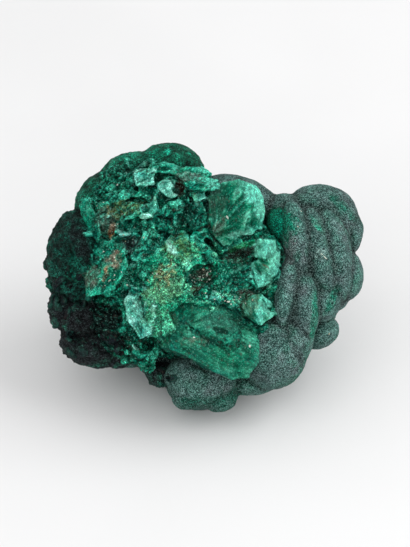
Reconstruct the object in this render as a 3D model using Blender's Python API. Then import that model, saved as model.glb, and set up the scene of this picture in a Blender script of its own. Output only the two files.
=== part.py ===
"""Malachite specimen: a fist-sized botryoidal lump, grown as one piece and broken open on one side.

The forms are laid out in the face frame, which looks straight at the broken side: x to the right,
y up and z out of the stone, in millimetres. FACE_LEAN tips that frame back, so that the stone rests
on its underside with the broken side facing up and forward. World units are metres, +Z up, and the
origin is under the middle of the stone.
"""

import math
import random
from typing import NamedTuple

import bmesh
import bpy
from mathutils import Euler, Matrix, Vector
from mathutils.bvhtree import BVHTree
from mathutils.noise import noise

MM = 0.001
NODE_NAME = "malachite"

# What it is made of
STONE_GREEN = (0.008, 0.150, 0.095, 1.0)
STONE_ROUGHNESS = 0.6
STONE_METALLIC = 0.0
SHARP_ANGLE = math.radians(40.0)

# How the face frame stands in the world
FACE_LEAN = math.radians(50.0)
FACE_ORIGIN_HEIGHT = 42.5
FACE_ORIGIN_DEPTH = -4.74
FACE_ORIGIN_SIDE = 0.42

# Fineness, and a height above everything in the face frame
VOXEL = 0.9
SOLID_TRIANGLES = 9600
LOBE_DETAIL = 4
HIGH_ABOVE = 100.0

# Small broken ledges: corners of each, lift as a share of its patch's, girth as a share of its
# length, and how far it turns off its patch's lie about z, y and x in degrees
RUBBLE_CORNERS = 10
RUBBLE_LIFTS = (-1.0, 0.5)
RUBBLE_GIRTHS = (0.35, 0.6)
RUBBLE_SWING = 22
RUBBLE_TILT = 20
RUBBLE_ROLL = 25

# How ragged the pits' rims are, and how finely
PIT_RAGGED = 0.6
PIT_GRAIN = 0.35

# The back and underside are rounded knobs, spread evenly so that their tops lie on one egg shape
KNOB_COUNT = 120
KNOB_EGG_CENTRE = Vector((0.0, -1.5, -13.0))
KNOB_EGG_RADII = Vector((48.0, 35.5, 32.0))
KNOB_SIZES = (6.0, 11.0)
KNOB_SQUASHES = (0.75, 1.0)
KNOB_DEPTH = 0.95
KNOB_FRONT = 0.1
KNOB_SEED = 4


class Lobe(NamedTuple):
    """A rounded growth: its centre, its radii and its turn about z, y and x in degrees."""

    name: str
    centre: tuple
    radii: tuple
    turn: tuple = (0, 0, 0)


class Shard(NamedTuple):
    """A broken block: the corners that show, how deep its root goes and how much the root narrows."""

    name: str
    corners: tuple
    root: float = 8.0
    taper: float = 0.8


class Rubble(NamedTuple):
    """A patch of small broken ledges: where, how many, how large, how they lie and how they stand out."""

    name: str
    centre: tuple
    spread: tuple
    count: int
    size: tuple
    lie: float
    lift: float
    seed: int


class Pit(NamedTuple):
    """A hollow in the broken face: an ellipsoid pressed straight in along z."""

    name: str
    centre: tuple
    radii: tuple
    turn: float = 0.0


CORE = (
    Lobe("core_left", (-14, 3, -10), (29, 32, 22)),
    Lobe("core_right", (19, -2, -11), (26, 25, 22)),
    Lobe("core_low", (1, -12, -10), (25, 20, 22)),
    Lobe("core_back", (0, 0, -18), (40, 31, 22)),
)

CRUST = (
    # Top rim
    Lobe("crest", (-12, 35.3, -4), (12.0, 10.8, 12)),
    Lobe("crest_left", (-25, 32, -5), (13, 10.5, 13), (28, 0, 0)),
    Lobe("shoulder", (-33.8, 25.5, -4), (9.5, 11.5, 12), (-24, 0, 0)),
    Lobe("crest_back", (12, 26.2, -6), (14.5, 8.5, 12), (-22, 0, 0)),
    # Left flank
    Lobe("flank", (-41, 8, -3), (12, 16.8, 14), (-6, 0, 0)),
    Lobe("flank_bud_a", (-51.0, 5.5, -3), (3, 3, 4)),
    Lobe("flank_bud_b", (-50.0, -1, -3), (3.2, 3.5, 4)),
    Lobe("flank_low", (-47, -9, -5), (5.5, 8, 8)),
    Lobe("flank_root", (-42, -13, -4), (8, 8, 9)),
    Lobe("heel", (-38.5, -22.5, -6), (10.5, 6.5, 10), (-18, 0, 0)),
    Lobe("heel_bud", (-28.5, -26.5, -6), (4.5, 3.2, 5)),
    # Foot
    Lobe("foot", (-1, -33.0, 0), (12.2, 9.8, 11)),
    Lobe("foot_corner_left", (-6.2, -38.6, -1), (5.0, 4.8, 8)),
    Lobe("foot_corner_right", (4.6, -38.6, -1), (6.2, 5.6, 8)),
    Lobe("foot_left", (-14.5, -31.5, -6), (5.5, 5, 6)),
    Lobe("foot_right", (17, -33.5, -4), (10, 5, 8), (12, 0, 0)),
    # Right-hand cluster
    Lobe("crown", (38.5, 20.0, -6), (13.2, 12.3, 13)),
    Lobe("crown_knob", (49.2, 16, -6), (3.8, 7, 7)),
    Lobe("crown_tip", (47.8, 12.8, -6), (4.4, 3.0, 5)),
    Lobe("saddle", (26.5, 22.5, -3), (7, 6.5, 9)),
    Lobe("glazed", (25.0, 18.3, 2.5), (4.6, 6.2, 8.6), (12, 0, 0)),
    Lobe("petal_outer", (42.2, 9.5, 1.5), (6.6, 17.0, 9.5), (10, 0, 0)),
    Lobe("petal_middle", (37.6, 9.0, 5), (5.6, 15.5, 8.6), (12, 0, 0)),
    Lobe("petal_low", (38.8, -6.5, 2), (6.6, 7.5, 8.5), (-20, 0, 0)),
    Lobe("petal_inner", (30.4, 13.0, 7.2), (5.0, 13.5, 7.6), (9, 0, 0)),
    Lobe("side", (47.4, 1.6, -4), (5.7, 8.4, 9)),
    Lobe("side_bud", (43.5, -7.6, -4), (4.8, 3.2, 5), (25, 0, 0)),
    Lobe("spur", (38.6, -17.6, -8), (7.0, 5.4, 8), (25, 0, 0)),
    Lobe("lap", (32.7, -7.5, 7.2), (5.2, 12.0, 8.6), (4, 0, 0)),
    Lobe("lap_inner", (26.9, -4.0, 8.4), (4.2, 12.5, 8.0), (-8, 0, 0)),
    Lobe("belly", (22.5, -23.5, 2), (11.5, 13, 13)),
    Lobe("belly_side", (30.0, -18.5, 4), (6.2, 11, 9), (-10, 0, 0)),
    Lobe("belly_low", (26.3, -29.3, -1), (5.8, 5.8, 8)),
    # The bed of the broken side, behind its blocks
    Lobe("bed_top", (-16, 26, -1), (20, 12, 13)),
    Lobe("bed_left", (-27, 12, -2), (13, 15, 14)),
    Lobe("bed_middle", (-8, 4, -1), (16, 16, 14.5)),
    Lobe("bed_right", (12, 2, -2), (13, 16, 13)),
    Lobe("bed_low", (-24, -16, -5), (13, 13, 14)),
    Lobe("slab_drape", (2, -17, 6.5), (15.5, 10, 12.8), (-28, 0, 0)),
    # Lobes that it stands on
    Lobe("rest_front", (-2, -33, -11), (12, 11, 11)),
    Lobe("rest_right", (24, -13, -34), (13, 12, 12)),
    Lobe("rest_left", (-22, -13, -34), (13, 12, 12)),
)

SHARDS = (
    # Uneven plates behind the blocks
    Shard(
        "bed_plate_top",
        ((-34, 22, 9.5), (-28, 32, 9), (-15, 36.5, 10), (2, 35, 11), (7, 21, 14.5), (-7, 17, 15),
         (-23, 14, 13.3), (-35, 14, 10.5)),
        root=9,
    ),
    Shard(
        "bed_plate_left",
        ((-37, 12, 10), (-23, 14, 13.4), (-17, 2, 15), (-26, -6, 13), (-38, -5, 10.3)),
        root=9,
    ),
    Shard(
        "bed_plate_middle",
        ((-23, 14, 13.4), (4, 16, 15.2), (14, 12, 14), (14, -7, 13.8), (-6, -9, 15), (-20, -8, 14.4),
         (-22, 2, 14.8)),
        root=9,
    ),
    Shard(
        "bed_plate_right",
        ((2, 22, 14), (19, 19, 9.5), (25, 12, 12), (25, -12, 12.2), (12, -11, 14), (2, -6, 15)),
        root=9,
    ),
    Shard(
        "bed_plate_low",
        ((-39, -9, 7.5), (-26, -9, 12), (-17, -11, 14), (-15, -22, 12.5), (-18, -31, 8.5),
         (-30, -24, 8)),
        root=9,
    ),
    Shard(
        "fan_root",
        ((-3, 21, 14), (3, 22.5, 15.5), (5, 14, 15.5), (0, 11.5, 15), (-3, 14, 14.8)),
        root=9,
    ),
    Shard(
        "slab_root",
        ((12, -9, 12), (20, -11, 12.4), (23, -19, 12), (16, -24, 13), (11, -16, 13)),
        root=10,
    ),
    Shard(
        "plateau_tail",
        ((-18, -8, 16.3), (-12, -8.5, 16.8), (-10, -15.5, 17.2), (-14.2, -21.5, 15.6), (-19, -19, 14),
         (-17.5, -13, 16)),
        root=10,
    ),
    Shard(
        "wedge_dark",
        ((8.3, 1.8, 15), (9.4, 3.8, 14.5), (14.3, 5.6, 15.4), (16.9, -1.9, 13.2), (10.9, -0.3, 13.5),
         (8.3, 0.5, 14.2)),
    ),
    Shard("blade", ((11.5, 11.2, 14), (16.5, 13.6, 13), (17, 12.6, 13.5), (12.5, 9.8, 14.5)), root=6),
    Shard(
        "plateau",
        ((-21, 5, 14.6), (-15, 11, 15.6), (-5, 12.5, 16.8), (3.5, 11.5, 15.8), (6.5, 8, 15.2),
         (4, 5, 16.3), (-6, 4, 19), (-8, -3, 19), (-5, -5.5, 17.2), (-10, -10.5, 16.8), (-19, -8, 16.2),
         (-22, -1, 15), (-14, 3, 18.4)),
        root=10,
    ),
    Shard(
        "crest_ledge",
        ((-19, 38, 11.5), (-10, 38.3, 13), (0, 36.8, 12), (2.5, 34.5, 13), (-8, 34, 15), (-18, 35, 14)),
    ),
    Shard(
        "stripe_upper",
        ((-34, 24.5, 12.5), (-29, 28.8, 12.5), (-21, 30, 14), (-20, 28.4, 15.2), (-27, 26, 15)),
        root=6,
    ),
    Shard(
        "stripe_lower",
        ((-34, 20, 12), (-27, 24.5, 13.6), (-16, 25, 14.6), (-12, 21, 15), (-22, 20, 15.6)),
        root=7,
    ),
    Shard("step_low", ((-33, -4, 11), (-25, 1, 12.5), (-22, -5, 12), (-27, -9, 10.5)), root=6),
    Shard("nub_a", ((-21.7, 19, 14), (-17, 19.5, 14), (-16, 14, 16), (-20.5, 13.5, 16)), root=5),
    Shard("nub_b", ((-17, 11.5, 14.5), (-12, 12, 15), (-11, 7, 17), (-15.5, 6, 17)), root=5),
    Shard("nub_c", ((-20.5, 7, 14.5), (-16.5, 7.5, 16), (-16, 2, 16.5), (-20, 1.5, 15.5)), root=5),
    Shard("nub_d", ((-25, 9.7, 13.5), (-19, 10.3, 14), (-18.5, 7, 15.5), (-24, 6.3, 15)), root=5),
    Shard(
        "gable_right",
        ((-7, 25.5, 14), (-0.8, 25, 14.5), (-0.5, 17.5, 16), (-5, 16.5, 15.8)),
        root=6,
    ),
    Shard("step_middle", ((-22, 4, 14.5), (-17, 1, 16.5), (-19, -6, 16), (-25, -3, 14)), root=6),
)

PLATES = (
    # The fan: one flat plate with a fibrous side dropping away to the right
    Shard(
        "fan_plate",
        ((1, 27, 15.5), (2.5, 29.8, 14.8), (5.7, 32.2, 14.5), (11, 32.9, 14.5), (13.5, 31.8, 15.2),
         (14.5, 24, 19), (12.5, 15.5, 18.8), (8.3, 11.2, 17.3), (5.5, 11.3, 16.8), (3, 14, 16.3),
         (0.8, 20, 16.6)),
        root=11,
    ),
    Shard(
        "fan_side",
        ((13.2, 32, 14.8), (16.5, 31, 12.5), (19.3, 27.3, 10.8), (20.2, 22.8, 10.3), (18.5, 17, 11),
         (15.5, 14.8, 14), (11.5, 14.5, 18), (14.3, 23, 19)),
        root=10,
    ),
    # Stacked wedges beside the right-hand cluster
    Shard(
        "wedge_upper",
        ((15.7, 11, 13.5), (17.6, 13.5, 14), (20.6, 13.1, 17.2), (23.4, 13.2, 14), (23.8, 10.3, 13.4),
         (22.4, 5.7, 15), (19.2, 6.8, 17.6), (15.3, 8, 14)),
    ),
    Shard(
        "wedge_middle",
        ((14.6, 5.6, 14), (19.1, 7.2, 16.4), (22, 6.8, 18.2), (25, 9.5, 12.5), (24.9, 5.9, 13),
         (24, 1.3, 12.5), (21.7, -1.1, 13), (17.4, -2.2, 16.6), (15.4, 2.3, 13.6)),
    ),
    Shard(
        "wedge_lower",
        ((12, -6.9, 13.3), (11.6, -10.6, 13), (16.1, -12.9, 14), (18.3, -14.8, 15.2), (16.9, -10.4, 18),
         (18.5, -4.3, 15.8), (21.9, -6.5, 13.3), (24.2, -11.2, 13)),
    ),
    # The smooth slab, whose lower lip stands out over the foot
    Shard(
        "slab",
        ((-14.6, -22.4, 16.0), (-11.5, -23.8, 17.4), (-5, -24.7, 18.4), (0.3, -27.3, 18.6),
         (4.3, -30, 17.6), (9.3, -33.0, 15.2), (14.5, -32.4, 14), (17.6, -27.5, 13.8),
         (17.8, -20, 13.8), (15.5, -14, 13.2), (11, -8, 11.6), (3, -4, 11.6), (-5, -3.7, 12),
         (-12, -6, 12.6), (-14.8, -13, 14.2), (-4, -18, 19), (4, -20, 18.8)),
        root=10,
    ),
    # The pale end and the rounded upper edge of the granular plateau
    Shard(
        "pale_wedge",
        ((-26.7, -7.5, 13.6), (-24.5, -1.5, 14.8), (-20, -2, 16.2), (-17, -6, 17), (-15.8, -12, 17),
         (-17.5, -18, 16), (-21.3, -19.3, 14.2), (-24.8, -13.5, 13.6)),
        root=9,
    ),
    Shard(
        "plateau_block_left",
        ((-13.5, 12, 16), (-12, 15.5, 15), (-7, 16.3, 15.5), (-5, 13, 17), (-6, 11, 17.5)),
    ),
    Shard(
        "plateau_block_right",
        ((-5, 12, 17), (-4, 16.3, 15.5), (1.5, 16, 15.5), (3.3, 12, 16.5), (-1, 10.5, 17.5)),
    ),
    # Ledges under the crest
    Shard(
        "pale_block",
        ((-24, 35.5, 13.8), (-16.5, 37, 14.3), (-16.3, 30.5, 16.5), (-23.3, 30.8, 16)),
        root=6,
    ),
    Shard(
        "pale_chip",
        ((-15, 31.7, 13), (-11, 32.5, 13), (-8.2, 28.3, 15), (-11, 26.5, 15), (-15, 29, 14)),
        root=6,
    ),
    Shard(
        "mint_chip",
        ((-4.2, 28.8, 14.5), (0, 29.2, 15), (0.8, 26, 15.8), (-3.5, 25.2, 15.5)),
        root=5,
    ),
    Shard(
        "tongue",
        ((-8.5, 34, 14), (-1.7, 34.3, 15), (4.3, 32.3, 14.5), (4.4, 29.8, 16), (0, 28.3, 17.3),
         (-5, 29.5, 16.8)),
    ),
    Shard(
        "small_fan",
        ((-20.5, 23, 14.8), (-16, 27.5, 14.5), (-15, 23, 16.6), (-18, 20.3, 16.4)),
        root=5,
    ),
    Shard(
        "streak",
        ((-13.5, 12.8, 16.4), (-10.5, 13.4, 16.8), (-8.6, 8.6, 18.3), (-11.2, 7.6, 18)),
        root=5,
    ),
    # Left half of the break
    Shard(
        "gable",
        ((-15, 26, 12), (-8.5, 26, 13), (-4, 27, 12.5), (-2, 20, 14), (-6, 16, 13), (-14, 18, 12.5)),
        root=7,
    ),
    Shard(
        "left_strip",
        ((-42, 25, 5), (-40, 27.5, 6), (-36.5, 22, 11), (-34, 15, 12.5), (-35.5, 12, 12),
         (-38.5, 17, 9)),
        root=7,
    ),
    Shard(
        "stained_slab",
        ((-38, 9, 9.5), (-34.5, 14, 11.5), (-27, 12, 14.6), (-25.5, 5, 16.2), (-30, -3.8, 15.8),
         (-38.8, -5.2, 13), (-40, 1, 10.5)),
        root=8,
    ),
)

RUBBLE = (
    Rubble("crest_steps", (-22, 27), (15, 8), 44, (1.6, 4.6), 24, 1.5, 1),
    Rubble("left_steps", (-26, 16), (12, 7), 40, (1.4, 4.0), 20, 1.5, 2),
    Rubble("middle_grit", (-20, 8), (7, 8), 24, (1.0, 3.0), 60, 1.5, 3),
    Rubble("plateau_grit", (-9, 3), (10, 6), 54, (0.7, 1.9), 30, 0.9, 4),
    Rubble("right_grit", (9, -3), (9, 4), 26, (1.1, 3.0), 10, 1.7, 5),
    Rubble("fan_foot", (7, 8), (8, 4), 16, (1.4, 3.4), 30, 2.0, 6),
    Rubble("gable_fibres", (-8, 22), (7, 6), 20, (1.4, 4.2), 75, 1.4, 7),
    Rubble("foot_grit", (-21, -25), (8, 6), 34, (1.3, 3.8), -35, 1.8, 8),
    Rubble("heel_grit", (-33, -16), (8, 7), 24, (1.3, 3.8), -20, 1.4, 9),
    Rubble("rim_steps", (-29, 28), (8, 6), 24, (1.6, 4.4), 38, 1.0, 10),
    Rubble("crest_grit", (-19, 38), (9, 2.5), 14, (1.0, 2.8), 8, 1.6, 11),
    Rubble("slab_top", (0, -6.5), (14, 3), 34, (0.9, 2.6), -10, 1.4, 12),
    Rubble("flank_crumbs", (-45, -6), (6, 12), 30, (1.4, 3.6), 70, 0.6, 13),
    Rubble("heel_crumbs", (-36, -22), (10, 5), 24, (1.4, 3.6), -20, 0.5, 14),
    Rubble("flank_ledges", (-39, 8), (6, 13), 24, (1.4, 4.0), 75, 0.7, 15),
    Rubble("foot_ledges", (-14, -33), (6, 4), 14, (1.2, 3.0), -30, 0.8, 16),
    Rubble("crest_dark", (-27, 35.5), (7, 3.0), 26, (1.2, 3.0), 22, 0.7, 17),
    Rubble("shoulder_ledges", (-32, 26.5), (5, 7), 34, (1.6, 4.2), 40, 0.6, 18),
    Rubble("pit_crystals", (-1, 2), (5, 3), 22, (0.6, 1.8), 40, 1.0, 19),
)

PITS = (
    Pit("red_pit", (-8.3, 30.5, 17), (2.4, 2.8, 7), 20),
    Pit("crystal_pit", (-1.5, 1.0, 17), (5.5, 3.4, 4.6), 15),
    Pit("fan_gap", (3.5, 9.5, 17), (1.2, 5.5, 5.5), 40),
    Pit("under_fan", (11.0, 8.5, 15), (4.6, 1.8, 4.0), 12),
    Pit("fan_hole", (20.3, 17.0, 13), (1.7, 1.6, 6), 0),
    Pit("slab_dimple", (7.0, -17.0, 20), (5.5, 1.5, 2.6), -14),
    Pit("black_hole", (-18.5, -21.7, 16), (3.6, 2.6, 10), 20),
    Pit("left_hollow", (-34.5, -12, 14), (7.5, 5.5, 9), 10),
    Pit("lip_gap", (-4.5, -27.4, 16), (10.5, 1.5, 8.0), -25),
    Pit("crest_hollow", (-25.0, 37.2, 12), (8.5, 2.7, 6.0), 12),
)


def face_matrix() -> Matrix:
    """Face frame in millimetres to world in metres."""
    stand = Matrix.Translation((FACE_ORIGIN_SIDE, FACE_ORIGIN_DEPTH, FACE_ORIGIN_HEIGHT))
    return Matrix.Scale(MM, 4) @ stand @ Matrix.Rotation(FACE_LEAN, 4, "X")


def turned(degrees_zyx: tuple) -> Matrix:
    """A turn about x, then y, then z."""
    z, y, x = (math.radians(a) for a in degrees_zyx)
    return Euler((x, y, z)).to_matrix().to_4x4()


def add_lobe(bm: bmesh.types.BMesh, lobe: Lobe) -> None:
    """An egg of this size and turn."""
    place = Matrix.Translation(lobe.centre) @ turned(lobe.turn) @ Matrix.Diagonal((*lobe.radii, 1))
    bmesh.ops.create_icosphere(bm, subdivisions=LOBE_DETAIL, radius=1.0, matrix=place)


def add_hull(bm: bmesh.types.BMesh, points: list) -> None:
    """The convex block round these points."""
    verts = [bm.verts.new(p) for p in points]
    made = bmesh.ops.convex_hull(bm, input=verts)
    inside = {v for v in made["geom_interior"] + made["geom_unused"] if isinstance(v, bmesh.types.BMVert)}
    bmesh.ops.delete(bm, geom=list(inside), context="VERTS")


def add_shard(bm: bmesh.types.BMesh, shard: Shard) -> None:
    """The block under these corners, narrowing down to its root."""
    corners = [Vector(c) for c in shard.corners]
    middle = sum(corners, Vector()) / len(corners)
    sink = Vector((0, 0, shard.root))
    add_hull(bm, corners + [middle + (c - middle) * shard.taper - sink for c in corners])


def add_rubble(bm: bmesh.types.BMesh, rubble: Rubble, surface: BVHTree) -> None:
    """Small irregular ledges set into the surface, longest along the patch's lie."""
    draw = random.Random(rubble.seed)
    for _ in range(rubble.count):
        angle = draw.uniform(0, math.tau)
        reach = math.sqrt(draw.random())
        x = rubble.centre[0] + rubble.spread[0] * reach * math.cos(angle)
        y = rubble.centre[1] + rubble.spread[1] * reach * math.sin(angle)
        lift = draw.uniform(*RUBBLE_LIFTS) * rubble.lift
        long = draw.uniform(*rubble.size)
        half = Vector((long, long * draw.uniform(*RUBBLE_GIRTHS), long * draw.uniform(*RUBBLE_GIRTHS)))
        swing = rubble.lie + draw.uniform(-RUBBLE_SWING, RUBBLE_SWING)
        tilt = draw.uniform(-RUBBLE_TILT, RUBBLE_TILT)
        roll = draw.uniform(-RUBBLE_ROLL, RUBBLE_ROLL)
        turn = turned((swing, tilt, roll))
        block = []
        for _ in range(RUBBLE_CORNERS):
            way = Vector((draw.gauss(0, 1), draw.gauss(0, 1), draw.gauss(0, 1))).normalized()
            block.append(turn @ (way * half))
        ground = surface.ray_cast(Vector((x, y, HIGH_ABOVE)), Vector((0, 0, -1)))[0]
        if ground:
            seat = Vector((x, y, ground.z + lift))
            add_hull(bm, [seat + corner for corner in block])


def add_knobs(bm: bmesh.types.BMesh) -> None:
    """Knobs set round the egg in a golden-angle spiral, leaving out the broken side."""
    draw = random.Random(KNOB_SEED)
    golden = math.pi * (3 - math.sqrt(5))
    for i in range(KNOB_COUNT):
        along = 1 - 2 * (i + 0.5) / KNOB_COUNT
        ring = math.sqrt(1 - along * along)
        way = Vector((ring * math.cos(golden * i), ring * math.sin(golden * i), -along))
        size = draw.uniform(*KNOB_SIZES)
        squash = draw.uniform(*KNOB_SQUASHES)
        spin = draw.uniform(0, 180)
        if way.z > KNOB_FRONT:
            continue
        reach = KNOB_EGG_RADII - Vector((size, size, size))
        centre = KNOB_EGG_CENTRE + Vector((way.x * reach.x, way.y * reach.y, way.z * reach.z))
        add_lobe(bm, Lobe("knob", centre, (size, size * squash, size * KNOB_DEPTH), (spin, 0, 0)))


def raw_form() -> bmesh.types.BMesh:
    """Every form as its own closed shell, in the face frame."""
    bm = bmesh.new()
    for lobe in CORE + CRUST:
        add_lobe(bm, lobe)
    add_knobs(bm)
    for shard in SHARDS:
        add_shard(bm, shard)
    surface = BVHTree.FromBMesh(bm)
    for rubble in RUBBLE:
        add_rubble(bm, rubble, surface)
    for plate in PLATES:
        add_shard(bm, plate)
    return bm


def evaluated(obj: bpy.types.Object) -> bpy.types.Mesh:
    """The mesh that the object's modifiers make, without the object."""
    graph = bpy.context.evaluated_depsgraph_get()
    mesh = bpy.data.meshes.new_from_object(obj.evaluated_get(graph))
    bpy.data.objects.remove(obj)
    return mesh


def held(mesh: bpy.types.Mesh, name: str) -> bpy.types.Object:
    """A new object that shows this mesh."""
    obj = bpy.data.objects.new(name, mesh)
    bpy.context.scene.collection.objects.link(obj)
    return obj


def fuse(mesh: bpy.types.Mesh, voxel: float) -> bpy.types.Mesh:
    """One mesh round every shell."""
    obj = held(mesh, "raw")
    remesh = obj.modifiers.new("fuse", "REMESH")
    remesh.mode = "VOXEL"
    remesh.voxel_size = voxel
    return evaluated(obj)


def press_pits(mesh: bpy.types.Mesh) -> None:
    """Push what lies inside a pit down to its floor."""
    for pit in PITS:
        spin = Matrix.Rotation(-math.radians(pit.turn), 3, "Z")
        centre = Vector(pit.centre)
        wide, high, deep = pit.radii
        reach = max(wide, high)
        for vert in mesh.vertices:
            away = vert.co - centre
            if abs(away.x) > reach or abs(away.y) > reach or away.z < -deep:
                continue
            away = spin @ away
            inside = 1 - (away.x / wide) ** 2 - (away.y / high) ** 2
            inside += PIT_RAGGED * noise(vert.co * PIT_GRAIN)
            if inside > 0:
                vert.co.z = min(vert.co.z, centre.z - deep * math.sqrt(inside))


def drop_crumbs(bm: bmesh.types.BMesh) -> None:
    """Keep only the largest piece, also where a crumb hangs on by one corner."""
    left = set(bm.faces)
    pieces = []
    while left:
        piece = []
        front = [left.pop()]
        while front:
            face = front.pop()
            piece.append(face)
            joined = [e for e in face.edges if len(e.link_faces) == 2]
            near = {f for e in joined for f in e.link_faces} & left
            left -= near
            front.extend(near)
        pieces.append(piece)
    pieces.sort(key=len)
    for piece in pieces[:-1]:
        bmesh.ops.delete(bm, geom=piece, context="FACES")


def cut_feet(mesh: bpy.types.Mesh) -> None:
    """Slice off what reaches below the ground, which leaves the flats that it stands on."""
    bm = bmesh.new()
    bm.from_mesh(mesh)
    everything = bm.verts[:] + bm.edges[:] + bm.faces[:]
    ground = {"plane_co": (0, 0, 0), "plane_no": (0, 0, 1)}
    cut = bmesh.ops.bisect_plane(bm, geom=everything, clear_inner=True, **ground)
    rim = [e for e in cut["geom_cut"] if isinstance(e, bmesh.types.BMEdge)]
    bmesh.ops.holes_fill(bm, edges=rim)
    bmesh.ops.triangulate(bm, faces=bm.faces[:])
    drop_crumbs(bm)
    bm.to_mesh(mesh)
    bm.free()


def thin_out(mesh: bpy.types.Mesh, triangles: int) -> bpy.types.Mesh:
    """The same form in about this many triangles. The mesh has only four-sided faces."""
    obj = held(mesh, "whole")
    decimate = obj.modifiers.new("thin", "DECIMATE")
    decimate.ratio = triangles / (2 * len(mesh.polygons))
    return evaluated(obj)


def stone_material() -> bpy.types.Material:
    """Dull green stone."""
    material = bpy.data.materials.new(NODE_NAME)
    material.use_nodes = True
    shader = material.node_tree.nodes["Principled BSDF"]
    shader.inputs["Base Color"].default_value = STONE_GREEN
    shader.inputs["Roughness"].default_value = STONE_ROUGHNESS
    shader.inputs["Metallic"].default_value = STONE_METALLIC
    return material


def main() -> None:
    for obj in list(bpy.data.objects):
        bpy.data.objects.remove(obj)
    bm = raw_form()
    mesh = bpy.data.meshes.new("raw")
    bm.to_mesh(mesh)
    bm.free()
    mesh = fuse(mesh, VOXEL)
    press_pits(mesh)
    mesh = fuse(mesh, VOXEL)
    mesh.transform(face_matrix())
    mesh = thin_out(mesh, SOLID_TRIANGLES)
    cut_feet(mesh)
    mesh.shade_smooth()
    mesh.set_sharp_from_angle(angle=SHARP_ANGLE)
    mesh.materials.append(stone_material())
    held(mesh, NODE_NAME)


main()
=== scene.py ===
"""Malachite specimen, dressed: a velvety botryoidal crust, broken open on one side into bright ore.

The forms are laid out in the face frame, which looks straight at the broken side: x to the right,
y up and z out of the stone, in millimetres. Stance tips that frame back to how the stone rests.
"""

from __future__ import annotations

import logging
import math
import random
from collections.abc import Callable, Iterable
from dataclasses import dataclass, field, replace
from enum import Enum
from functools import reduce

import bmesh
import bpy
import numpy as np
from mathutils import Euler, Matrix, Vector
from mathutils.bvhtree import BVHTree


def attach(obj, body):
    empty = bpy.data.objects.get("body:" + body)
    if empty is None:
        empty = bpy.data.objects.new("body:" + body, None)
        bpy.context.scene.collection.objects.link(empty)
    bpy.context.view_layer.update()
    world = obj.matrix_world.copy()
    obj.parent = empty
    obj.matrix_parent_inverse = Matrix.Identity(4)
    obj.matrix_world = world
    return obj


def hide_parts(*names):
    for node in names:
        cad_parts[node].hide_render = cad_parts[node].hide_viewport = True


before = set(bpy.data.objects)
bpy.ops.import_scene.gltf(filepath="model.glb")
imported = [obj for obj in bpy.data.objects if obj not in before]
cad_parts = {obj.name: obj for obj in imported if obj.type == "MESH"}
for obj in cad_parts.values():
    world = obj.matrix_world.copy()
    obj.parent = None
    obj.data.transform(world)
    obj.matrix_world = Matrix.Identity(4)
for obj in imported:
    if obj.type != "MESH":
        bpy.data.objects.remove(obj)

LOG = logging.getLogger("malachite")

MM = 0.001
NODE = "malachite"
BODY = "root"
MOST_TRIANGLES = 198_000
BLOCK_CORNERS = 10
HIGH_ABOVE = 100.0
PIT_MARGIN = 0.6
DARKEST = 0.001
# Strength and aim, in radians, of the painted highlight along the fan's rim towards the key light, and how
# far its fibres stretch across.
FAN_HIGHLIGHT, FAN_AIM, FAN_SPREAD = 1.15, 0.35, 12.0

Array = np.ndarray
Pair = tuple[float, float]
Triple = tuple[float, float, float]
Rgb = Triple
Rgba = tuple[float, float, float, float]
Socket = bpy.types.NodeSocket


class Ore(Enum):
    """The kinds of surface on the stone."""

    VELVET = "grey-green velvet of tiny crystals"
    MOSS = "darker and greener velvet"
    # DUSK and SOOT, on the lower left, are partly the crust's own dark colour and partly painted shade.
    DUSK = "shaded dark green velvet"
    SOOT = "blackened crust"
    GLAZE = "bare smooth green crust"
    BED = "dull broken ore behind the blocks"
    FIBRE = "splintery fibres, seen from the side"
    SILK = "smooth silky cleavage"
    MINT = "pale fibre ends"
    GRAIN = "granular, yellow-green"
    CRUMB = "ragged granular green"
    SLAB = "smooth curved slab"
    # SHADE is painted shade on blocks turned from the key light and in gaps, and also the colour of scattered
    # dark chips.
    SHADE = "dark cleaved block"


@dataclass(frozen=True)
class Finish:
    """The look of one kind of ore.

    Args:
        deep: Its darkest colour.
        colour: Its body colour.
        pale: Its palest colour: its pale fibre ends, its ridges, and faces that painted light makes paler.
        fibres: Height of its fibre ridges, in millimetres.
        grains: Height of its grains, in millimetres.
        steps: Height of its broken steps, in millimetres.
        facets: How strongly its small faces tilt.
        grit: How strongly the fine light and dark grit shows, with the velvet's painted glints, 0 to 1.
    """

    deep: Rgb
    colour: Rgb
    pale: Rgb
    fibres: float = 0.0
    grains: float = 0.0
    steps: float = 0.0
    facets: float = 0.0
    grit: float = 0.5


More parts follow.
